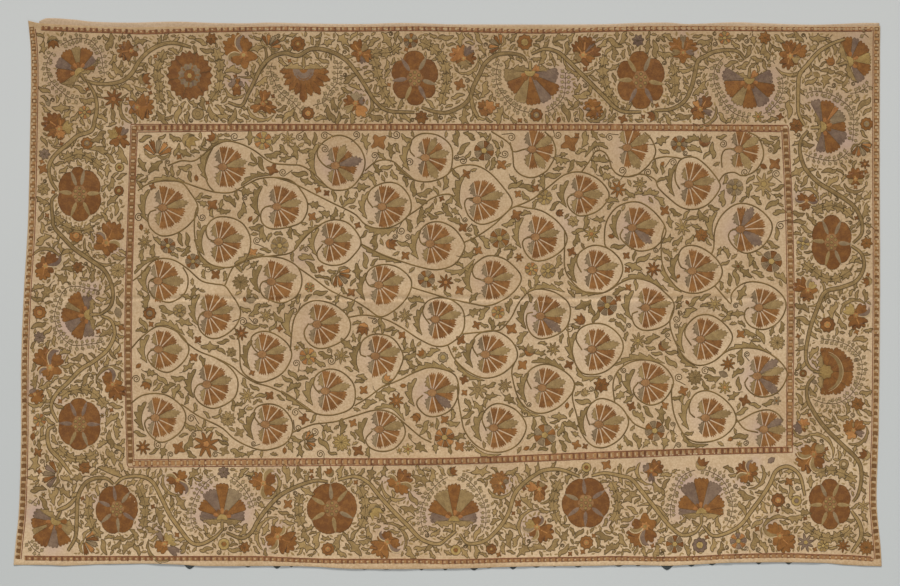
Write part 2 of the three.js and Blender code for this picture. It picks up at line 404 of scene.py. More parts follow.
# Darker along the rim and towards the upper edge.
rim_and_top_darkening = 0.25 * np.exp(-inset.ravel() / 0.5) + 0.1 * ease(-20, 45, flat_y) + 0.12 * ease(46, 62, flat_y)
for name, values in {"dye": spread, "soil_and_painted_light": soil_and_painted_crease_light + rim_and_top_darkening}.items():
    attribute = cover.data.attributes.new(name, "FLOAT", "POINT")
    attribute.data.foreach_set("value", np.concatenate([values, values * 0]))
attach(cover, "root")
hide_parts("cover")

# Heading strip: a plain undyed strip of cotton sewn flat behind the upper edge, which stands a
# finger's breadth proud of the work along the whole length.
HEADING_EDGE = path("""
-122.6 81.8 -120.5 82.7 -112 82.3 -107 81.7 -95 81.4 -82 81.7 -70 81.3 -60 81.2 -54 81.4 -40 81.1 -25 81
-15 81.3 -5 81.1 0 80.9 45 80.9 57 81.3 66 81.4 72 81 86 81.5 95 81.2 110 80.8 125 81.3 129.4 81.3""")
heading_material, heading_shader, heading_body = cotton(
    "undyed_cotton", colour(202, 178, 150), colour(168, 140, 110), 0.0018)
feed(heading_shader, {"Base Color": heading_body})
stations = np.linspace(HEADING_EDGE[0][0], HEADING_EDGE[-1][0], 260)
heading_x = np.tile(stations, (6, 1))
reach = np.array([0, 0.5, 0.94, 1.0])[:, None]
seam_y = follow(UPPER_EDGE, stations) - 0.1
outer_y = seam_y + (follow(HEADING_EDGE, stations) - seam_y) * reach
tucked_y = np.stack([seam_y + 0.1 - TUCK, seam_y - 1])
heading_y = np.concatenate([tucked_y, outer_y])
heading_top = np.full(heading_x.shape, STRIP_THICK)
heading_top[-1] = STRIP_THICK * 0.55
heading_strip = closed_sheet(
    "heading_strip_cloth", heading_x, heading_y, heading_x * 0, heading_top, heading_material)
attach(heading_strip, "root")
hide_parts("heading_strip")

# Lining strip: the dark cotton behind the lower hem, which hangs out in small scallops between the
# stitches that hold it. Only the stretch that shows is made.
LINING_BACK = 0.3
# Sags: middle, width, how low it reaches
LINING_SAGS = path("""
-77.5 4.8 82.5 -60 3.4 82 -51.3 3.8 82.4 -47 2.4 82 -25 4 82.7 -18.5 5.6 82.7 -8 2.4 82.9 -0.8 2.6 82.9
7.8 4.2 82.9 12.2 3.4 82.3 19.5 3.6 82.6 26.5 4 82.1 32 2.6 81.9 39 4.4 82 51.2 5 81.8 57 3.4 81.7 65.7
5.2 82.8 73 3.6 81.8 79.2 4 81.4 93.2 3.2 81.1 102.2 3.6 81.1""", 3)
lining_material, lining_shader, lining_body = cotton(
    "dark_lining", colour(66, 72, 72), colour(44, 49, 50), 0.0015)
feed(lining_shader, {"Base Color": lining_body})
stations = np.linspace(LINING_START, LINING_END, 389)
hem_line = follow(LOWER_EDGE, stations)
reach = hem_line + LINING_BACK
for middle, width, low in LINING_SAGS:
    drop = 1 - ease(0, width / 2, abs(stations - middle))
    reach = np.minimum(reach, hem_line + LINING_BACK + (-low - hem_line - LINING_BACK) * drop)
lining_x = np.tile(stations, (4, 1))
lining_y = np.stack([reach, reach * 0.9 + (hem_line + TUCK) * 0.1, hem_line + 1.2, hem_line + TUCK])
lining_top = np.full(lining_x.shape, STRIP_THICK)
lining_top[0] = STRIP_THICK * 0.5
lining_strip = closed_sheet(
    "lining_strip_cloth", lining_x, lining_y, lining_x * 0, lining_top, lining_material)
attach(lining_strip, "root")
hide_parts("lining_strip")

# Field palmettes: fans of laid silk, each lobe couched on its own and the olive and mauve lobes outlined,
# set in ranks inside curling vines. The silks are rust, ochre, olive and a grey that was once mauve, and
# they have faded unevenly, so each lobe has its own tone.
THREADS = {
    "rust": ("silk_rust", (112, 68, 25), (147, 97, 41)),
    "faded": ("silk_rust", (112, 70, 28), (152, 103, 50)),
    "orange": ("silk_ochre", (150, 96, 46), (182, 128, 70)),
    "ochre": ("silk_ochre", (142, 112, 60), (178, 148, 88)),
    "olive": ("silk_olive", (128, 102, 60), (167, 137, 87)),
    "moss": ("silk_olive", (130, 103, 62), (162, 134, 86)),
    "leaf": ("silk_olive", (126, 101, 57), (160, 132, 83)),
    "sage": ("silk_olive", (140, 116, 76), (168, 143, 101)),
    "grey": ("silk_grey", (122, 99, 71), (152, 129, 94)),
    "mauve": ("silk_grey", (106, 82, 66), (138, 113, 90)),
    "dark": ("silk_dark", (78, 59, 28), (104, 82, 42)),
    "tan": ("silk_ochre", (140, 98, 56), (172, 128, 80)),
    "cream": ("silk_ochre", (184, 154, 112), (206, 180, 138)),
}
LAID_PITCH = 0.0011
COUCH_PITCH = 0.0032


def silk(name, deep, pale):
    """Laid floss: fine threads along the work, tied down by slanting rows of short stitches."""
    material, graph, shader = finish("silk_floss_" + name, 0.62, 0.12)
    along, across = graph.parts(graph.node("ShaderNodeUVMap", {"uv_map": "thread"}))[:2]
    place = graph.node("ShaderNodeTexCoord", output=3)
    tone = graph.node("ShaderNodeAttribute", {"attribute_name": "tone"}, output=2)
    wear = graph.noise(place, 55.0, 4.0)
    fleck = graph.noise(place, 260.0)
    floss = (across * (2 * math.pi / LAID_PITCH) + wear * 3).wave()
    ties = ((along + across * 0.7) * (2 * math.pi / COUCH_PITCH) + fleck * 2).wave()
    share = tone * 0.75 + wear.between(0.3, 0.7) * 0.6 + fleck.between(0.35, 0.65) * 0.35 - 0.35
    body = graph.mix(share, colour(*deep), colour(*pale))
    # Along the rows of ties the colour is darkened by painted shade, where they press grooves into the
    # floss.
    tied_with_painted_shade = graph.mix(ties.between(0.2, 1.0) * 0.35, body, colour(*[v * 0.72 for v in deep]))
    height = floss * 0.25 - ties.between(0.3, 1.0) * 0.9 + fleck * 0.5
    feed(shader, {"Base Color": tied_with_painted_shade, "Normal": graph.relief(height, 0.5, 0.0007)})
    return material


silks = {name: silk(name, deep, pale) for name, (slot, deep, pale) in THREADS.items()}
chance = np.random.default_rng(41)
# The worked places are kept on a map of square cells, counted from its lower left corner
CELL = 0.25
MAP_LEFT = -132.5
MAP_LOW = -85
worked = np.zeros((680, 1060), bool)


def any_turn():
    """A direction drawn at random."""
    return chance.random() * 6.28


def either():
    """1 or -1, drawn at random."""
    return 1 if chance.random() < 0.5 else -1


def cells(points):
    """Rows and columns of the work's map for plan points."""
    column = np.clip(((points[..., 0] - MAP_LEFT) / CELL).astype(int), 0, worked.shape[1] - 1)
    row = np.clip(((points[..., 1] - MAP_LOW) / CELL).astype(int), 0, worked.shape[0] - 1)
    return row, column


def mark(points):
    worked[cells(points)] = True


def smooth(points, step=0.6, closed=False):
    """Even steps along a smooth line through a few places."""
    p = np.array(points, float).reshape(-1, 2)
    if closed:
        p = np.concatenate([p[-1:], p, p[:2]])
    else:
        p = np.concatenate([2 * p[:1] - p[1:2], p, 2 * p[-1:] - p[-2:-1]])
    t = np.linspace(0, 1, 12, endpoint=False)[None, :, None]
    a, b, c, d = (p[k:len(p) - 3 + k, None, :] for k in range(4))
    line = 2 * b + (c - a) * t + (2 * a - 5 * b + 4 * c - d) * t ** 2
    line = 0.5 * (line + (3 * b - a - 3 * c + d) * t ** 3)
    line = np.concatenate([line.reshape(-1, 2), p[-2:-1]])
    run = np.concatenate([[0], np.cumsum(np.hypot(*np.diff(line, axis=0).T))])
    count = max(3, int(round(run[-1] / step)) + 1)
    at = np.linspace(0, run[-1], count)
    line = np.stack([np.interp(at, run, line[:, k]) for k in (0, 1)], -1)
    return line[:-1] if closed else line


# Width below which a band has these rows of points, their places across it and their share of its height
BAND_ROWS = [(0.2, [-1, 1], [0.8, 0.8]), (0.6, [-1, 0, 1], [0.1, 1, 0.1]), (1.8, [-1, 0, 1], [0.3, 1, 0.3]),
             (math.inf, [-1, -0.55, 0, 0.55, 1], [0.3, 0.8, 1, 0.8, 0.3])]
# Reach below which a patch has these rings, as shares of its reach
PATCH_RINGS = [(1.7, [0.7, 1.0]), (3.5, [0.5, 0.86, 1.0]), (math.inf, [0.22, 0.45, 0.68, 0.88, 1.0])]


def unit(ways):
    """The same directions, one long."""
    return ways / np.maximum(np.hypot(*ways.T), 1e-6)[:, None]


def leftward(ways):
    """The same directions, a quarter turn to the left."""
    return np.stack([-ways[:, 1], ways[:, 0]], -1)


class Stitching:
    """The silk of one section, kept by thread until each thread becomes one mesh."""

    def __init__(self):
        self.parts = {}

    def add(self, thread, plan, rise, quads, threes, run, tone):
        parts = self.parts.setdefault(thread, [])
        tone = chance.random() if tone is None else tone
        parts.append((plan, rise, np.reshape(quads, (-1, 4)), np.reshape(threes, (-1, 3)), run,
                      np.full(len(plan), tone)))

    def patch(self, thread, outline, middle=None, lay=0.0, tone=None, lift=0.0, edge=0.0, full=0.06):
        """Laid silk inside a closed outline, domed from its middle; edge is the width of a dark cord."""
        outline = np.asarray(outline, float)
        x, y = outline.T
        if np.sum(x * np.roll(y, -1) - y * np.roll(x, -1)) < 0:
            outline = outline[::-1]
        middle = outline.mean(0) if middle is None else np.asarray(middle, float)
        reach = np.max(np.hypot(*(outline - middle).T))
        rings = next(rings for limit, rings in PATCH_RINGS if reach < limit)
        n = len(outline)
        plan = np.concatenate([[middle]] + [middle + (outline - middle) * share for share in rings])
        rise = np.concatenate([[full]] + [np.full(n, full if s < 0.6 else full * (0.8 if s < 1 else 0.3))
                                          for s in rings]) + lift
        i, ahead = np.arange(n), (np.arange(n) + 1) % n
        threes = np.stack([np.zeros(n, int), 1 + i, 1 + ahead], -1)
        quads = [np.stack([k + i, k + n + i, k + n + ahead, k + ahead], -1)
                 for k in 1 + n * np.arange(len(rings) - 1)]
        turn = np.array([[math.cos(lay), -math.sin(lay)], [math.sin(lay), math.cos(lay)]])
        self.add(thread, plan, rise, np.concatenate(quads), threes, plan @ turn, tone)
        for share in np.arange(0, 1.01, min(1, 0.2 / reach)):
            mark(middle + (outline - middle) * share)
        if edge:
            self.cord("dark", outline, edge, closed=True, lift=lift + 0.02)

    def band(self, thread, line, left, right, tone=None, lift=0.0, full=0.06, closed=False):
        """A strip of laid silk along a line, with its widths to either side."""
        line = np.asarray(line, float)
        if closed:
            line = np.concatenate([line, line[:1]])
        left = np.broadcast_to(left, len(line)).astype(float)
        right = np.broadcast_to(right, len(line)).astype(float)
        way = np.gradient(line, axis=0)
        if closed:
            way[0] = way[-1] = line[1] - line[-2]
        side = leftward(unit(way))
        offsets, heights = next(rows for limit, *rows in BAND_ROWS if np.max(left + right) < limit)
        run = np.concatenate([[0], np.cumsum(np.hypot(*np.diff(line, axis=0).T))])
        plan, rise, threads = [], [], []
        for offset, height in zip(offsets, heights):
            out = np.where(offset > 0, left, right) * offset
            plan.append(line + side * out[:, None])
            rise.append(np.full(len(line), full * height + lift))
            threads.append(np.stack([run, out], -1))
        m, k = len(line), np.arange(len(line) - 1)
        quads = [np.stack([r * m + k, r * m + k + 1, (r + 1) * m + k + 1, (r + 1) * m + k], -1)
                 for r in range(len(offsets) - 1)]
        self.add(thread, np.concatenate(plan), np.concatenate(rise), np.concatenate(quads), [],
                 np.concatenate(threads), tone)
        for share in (-1, -0.5, 0, 0.5, 1):
            mark(line + side * (np.where(share > 0, left, right) * share)[:, None])

    def cord(self, thread, line, width, closed=False, lift=0.02, tone=None):
        """A thin corded line."""
        self.band(thread, line, width / 2, width / 2, tone=tone, lift=lift, full=0.05, closed=closed)

    def sew(self, name):
        """Lays the silk on the cloth, one mesh for each thread, and fixes it to the cover."""
        for thread, parts in self.parts.items():
            plan, rise, quads, threes, run, tone = ([part[k] for part in parts] for k in range(6))
            first = np.cumsum([0] + [len(part) for part in plan[:-1]])
            flat = np.concatenate(plan)
            height = cloth_top(flat[:, 0], flat[:, 1]) + np.concatenate(rise)
            quads = np.concatenate([part + start for part, start in zip(quads, first)])
            threes = np.concatenate([part + start for part, start in zip(threes, first)])
            points = np.column_stack([flat, height])
            piece = new_piece(name + "_" + thread, points, quads, threes, silks[thread])
            corners = np.zeros(len(piece.data.loops), int)
            piece.data.loops.foreach_get("vertex_index", corners)
            map_layer = piece.data.uv_layers.new(name="thread")
            map_layer.data.foreach_set("uv", (np.concatenate(run)[corners] * CM).ravel())
            tones = piece.data.attributes.new("tone", "FLOAT", "POINT")
            tones.data.foreach_set("value", np.concatenate(tone))
            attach(piece, "root")


# x, y of the heart, fan radius, ring left, right, top and bottom. Letters give the lobes from the top
# round to the bottom.
PALMETTES = [(*map(float, row[:-1]), row[-1]) for row in table("""
-66.8 38.2 6.2 -72 -59.2 45.8 30.4 rrrgrrrr; -84.8 26 6.3 -90 -75 33.9 17.5 rrrgrrrr;
-68 15.8 6.2 -73 -59 23.2 8.1 rrrgrrrr; -50.5 26.3 6.2 -56.3 -42.2 35 19.5 rrrgrrrr;
-86.2 4 6.2 -89.8 -78 10.8 -2.5 rrrgrrr; -52.2 3.8 6.2 -56.4 -43.8 11.2 -2.6 rrrgrrrr;
-33 38.6 6 -39.3 -25 47.6 31.1 rgrmrgrr; -19 26.3 6.2 -24.2 -11 33.3 19.7 rrrgrrrr;
-34.8 15.8 6 -39.3 -26 22.3 8.6 rrrgrrrr; -6 41 5.8 -11.5 1.4 48.2 33.7 rgrgrrgr;
-4.6 15.2 6.1 -8.8 4.9 21.6 7.3 rrrgrrrr; -20 2.8 6 -24.8 -10.8 8.9 -4.8 rrrgrrrr;
9.5 28.3 6.2 4.3 19.3 38 20.9 rrrgrrrr; 26 43.5 5.8 18.5 32.5 50 34.9 rrgrrgr;
27 17.2 6.2 22 35.8 25.5 10 rrrgrrrr; 40 30 5.8 35.6 48.2 36.6 23.4 rrrgrrr;
44 7.3 6 38.6 52.5 14.6 0.1 rrrgrrrr; 13 4.2 6 7.3 22 11.6 -3 rrrgrrrr;
54.5 44 5.8 47.5 62 50 35.2 rrgrrgr; 56 20 6.3 51.3 65.3 27.7 12.9 rrrgrmrr;
73 33 6.4 68 81.6 41.3 25.4 rrrgrrrr; 74 7 6.2 68.8 82.3 14.6 0.3 rrrgrrrr;
88 43.5 5.6 81.5 94.5 49.5 36 rrgrrgr; 88.5 19.5 6.6 80.1 97.3 27.2 12.2 rmrrrmrr;
94 -4 6 88.8 101.2 3.6 -10.6 rrrgrrrr; 60 -4 6 55.1 67.9 3.6 -10.9 rrrgrrrr;
-71.2 -6 6.2 -75 -62.3 2.5 -13.2 rrrgrrrr; -86 -16.5 5.9 -90.2 -77.7 -9.7 -23.5 rrrgrrr;
-71.5 -27 6.2 -76.2 -63 -20 -34.4 rrrgrrrr; -87 -37 6 -91.1 -78.6 -29.8 -44.3 rrrgrrrr;
-55 -18 6.1 -59.3 -46.8 -11.3 -26.2 rrrgrrrr; -54 -39 6 -58.3 -46.6 -32.9 -46.5 rrrgrrrr;
-38.5 -9 6.3 -46.8 -29.2 -2 -16.3 rrrgrrrr; -21 -18.5 6.1 -26.6 -13.5 -12 -27 rrrgrrrr;
-36 -29 6 -40.5 -27.7 -22.5 -36.3 rrrgrrrr; -3 -7.5 6 -7.7 4.9 -1 -15.6 rrrgrrrr;
-4 -29.5 6 -10 3.2 -22.7 -36.7 rrrgrmrr; -19.8 -40.5 5.8 -24.8 -12.9 -34.6 -47.2 rrrgrrrr;
12 -18 6 7.5 21 -11 -25.2 rrrgrrrr; 28.5 -6.5 6.2 23.5 37 0.4 -13.5 rrrgrmrr;
44 -16.5 6.2 38.2 52.6 -8.9 -24 rrrgrrrr; 29 -28 6 23.6 38.2 -21.1 -35.7 rrrgrrrr;
14.5 -40 6.3 10.1 23.4 -32.8 -47.5 rrrgrrrr; 46 -39 6.1 41.5 54 -31.2 -46 rrrgrrrr;
76.5 -13.5 6.3 71 85.3 -6.1 -21.4 rrrgrrrr; 60 -26.5 6.2 55.4 67.6 -20 -33.3 rrrgrrrr;
93.5 -24.5 6.3 88.8 101.8 -16.5 -30.8 rrmgrmrr; 78 -37 6 72.3 86.5 -29 -44.3 rrrgrrrr;
95.5 -40.5 5.4 89 101 -34.7 -45.5 rrmgrrr;
""")]
LOBE_THREADS = {"r": "faded", "g": "moss", "m": "mauve"}
# Half the outline of an olive or mauve lobe, from its foot to its tip
TOOTHED_LOBE = path("""
0.1 0.03 0.45 0.14 0.58 0.2 0.65 0.15 0.75 0.24 0.8 0.16 0.92 0.2 0.93 0.1 1.04 0.1 1.05 0.03 1.14 0""")


def polar(turn, reach):
    """Places at some reach from the origin, in many directions."""
    return np.stack([reach * np.cos(turn), reach * np.sin(turn)], -1)


def star(radius, points, depth, turn=0.0, sharp=1.0):
    """A star or a scalloped round, as an outline about its own middle."""
    angle = np.linspace(0, 2 * math.pi, points * 6, endpoint=False)
    reach = radius * (1 - depth * (0.5 - 0.5 * np.cos(points * (angle - turn))) ** sharp)
    return polar(angle, reach)


def turned(outline, turn):
    cos, sin = math.cos(turn), math.sin(turn)
    return outline @ np.array([[cos, sin], [-sin, cos]])


def ray(turn, reach):
    """A place at some reach from the origin, in one direction."""
    return reach * np.array([math.cos(turn), math.sin(turn)])


def crown(first, last, outer, teeth, bite, sharp=0.5, peak=0.0, power=1.0):
    """A toothed arc about the origin: rounded scallops, or points where sharp is above 1. A peak draws
    its two ends in."""
    share = np.linspace(0, 1, 4 * teeth + 1)
    uneven = 1 - 0.6 * chance.random(teeth + 1)
    hump = np.sin(math.pi * ((share * teeth) % 1.0)) ** sharp
    reach = outer * (1 - peak * abs(2 * share - 1) ** power) - bite
    reach = reach + bite * hump * uneven[(share * teeth).astype(int)]
    turn = first + (last - first) * share
    return polar(turn, reach)


def wedge(first, last, inner, outer, gap, teeth, bite, sharp=0.5, peak=0.0, power=1.0):
    """A lobe's outline between two rays, a gap's half inside each, with teeth round its end."""
    middle = (first + last) / 2
    half = abs(last - first) / 2
    trim = gap / 2 / outer
    end = crown(middle - half + trim, middle + half - trim, outer, teeth, bite, sharp, peak, power)
    sides = []
    for sign in (1, -1):
        along = np.linspace((outer * (1 - peak) - bite) * 0.92, inner, 5)
        turn = middle + sign * (half - np.minimum(gap / 2 / along, half * 0.8))
        sides.append(polar(turn, along))
    return np.concatenate([end, sides[0], sides[1][::-1]])


def saw_leaf(work, line, wide, teeth, side=1, thread="olive", edge=0.2, back=0.3, deep=0.5):
    """A leaf along a line, smooth on one side and saw-edged on the other."""
    line = smooth(line, 0.26 if wide > 0.8 else 0.34)
    t = np.linspace(0, 1, len(line))
    body = np.sin(math.pi * t ** 0.85) ** 0.7
    saw = 1 - deep * ((t * teeth) % 1.0) ** 0.8
    outer = np.maximum(wide * body * saw, 0.04)
    inner = np.maximum(wide * back * body, 0.04)
    sides = (outer, inner) if side > 0 else (inner, outer)
    work.band(thread, line, *sides, full=0.05)
    if edge:
        normal = leftward(unit(np.gradient(line, axis=0)))
        work.cord("dark", line + normal * sides[0][:, None], edge)
        work.cord("dark", line - normal * sides[1][:, None], edge)


fans = Stitching()
for x, y, radius, west, east, top, bottom, lobes in PALMETTES:
    heart = np.array([x - 0.8, y - 0.1])
    wobble = np.concatenate([[0], chance.normal(0, 1.6, len(lobes) - 1), [0]])
    edges = np.radians(np.linspace(101, -101, len(lobes) + 1) + wobble)
    for letter, first, last in zip(lobes, edges[:-1], edges[1:]):
        turn = (first + last) / 2
        reach = radius * (1.06 + 0.1 * max(0, math.cos(turn)) ** 1.5) * (0.96 + 0.08 * chance.random())
        outline = wedge(last, first, 0.5, reach, 0.34, 4, 0.85, 1.1, 0.03, 2)
        if letter != "r":
            half = TOOTHED_LOBE * [reach * (0.96 + 0.1 * chance.random()), reach * (first - last) / 0.47]
            outline = turned(np.concatenate([half, half[-2::-1] * [1, -1]]), turn)
        tone = 0.3 + 0.5 * chance.random()
        fans.patch(LOBE_THREADS[letter], heart + outline, heart + ray(turn, 0.6 * reach), lay=turn,
                   tone=tone, edge=0.0 if letter == "r" else 0.07)
    for up in (1, -1):
        tip = (-1.15, (4.9 + 0.5 * chance.random()) * up)
        line = heart + np.array([(-0.45, 1.2 * up), (-0.82, 3.0 * up), tip])
        thread = "grey" if chance.random() < 0.6 else "moss"
        saw_leaf(fans, line, 1.75, 4, side=up, thread=thread, edge=0.08, back=0.05, deep=0.6)
    core = heart + star(1.35, 9, 0.2, chance.random(), 0.8) * [1.15, 0.95]
    fans.patch("tan", core, lift=0.07, tone=0.1 + 0.4 * chance.random(), edge=0.06)
    stub = heart + path("0.3 0.7 -0.9 0.8 -1.5 0.35 -2.6 0.1 -1.5 -0.35 -0.9 -0.7 0.3 -0.6")
    fans.patch("moss", stub, lift=0.03, tone=0.2, edge=0.07)
    ring = np.array([(west + east) / 2, (top + bottom) / 2])
    ring_half = np.array([(east - west) / 2, (top - bottom) / 2])
    run_in(heart - [0.7, 0], 0.5 * radius, 0.8 if "m" in lobes else 0.4)
    for share in np.arange(0.05, 1, 0.025):
        mark(ring + polar(np.linspace(0, 2 * math.pi, 150), 1) * ring_half * share)
fans.sew("field_palmettes")

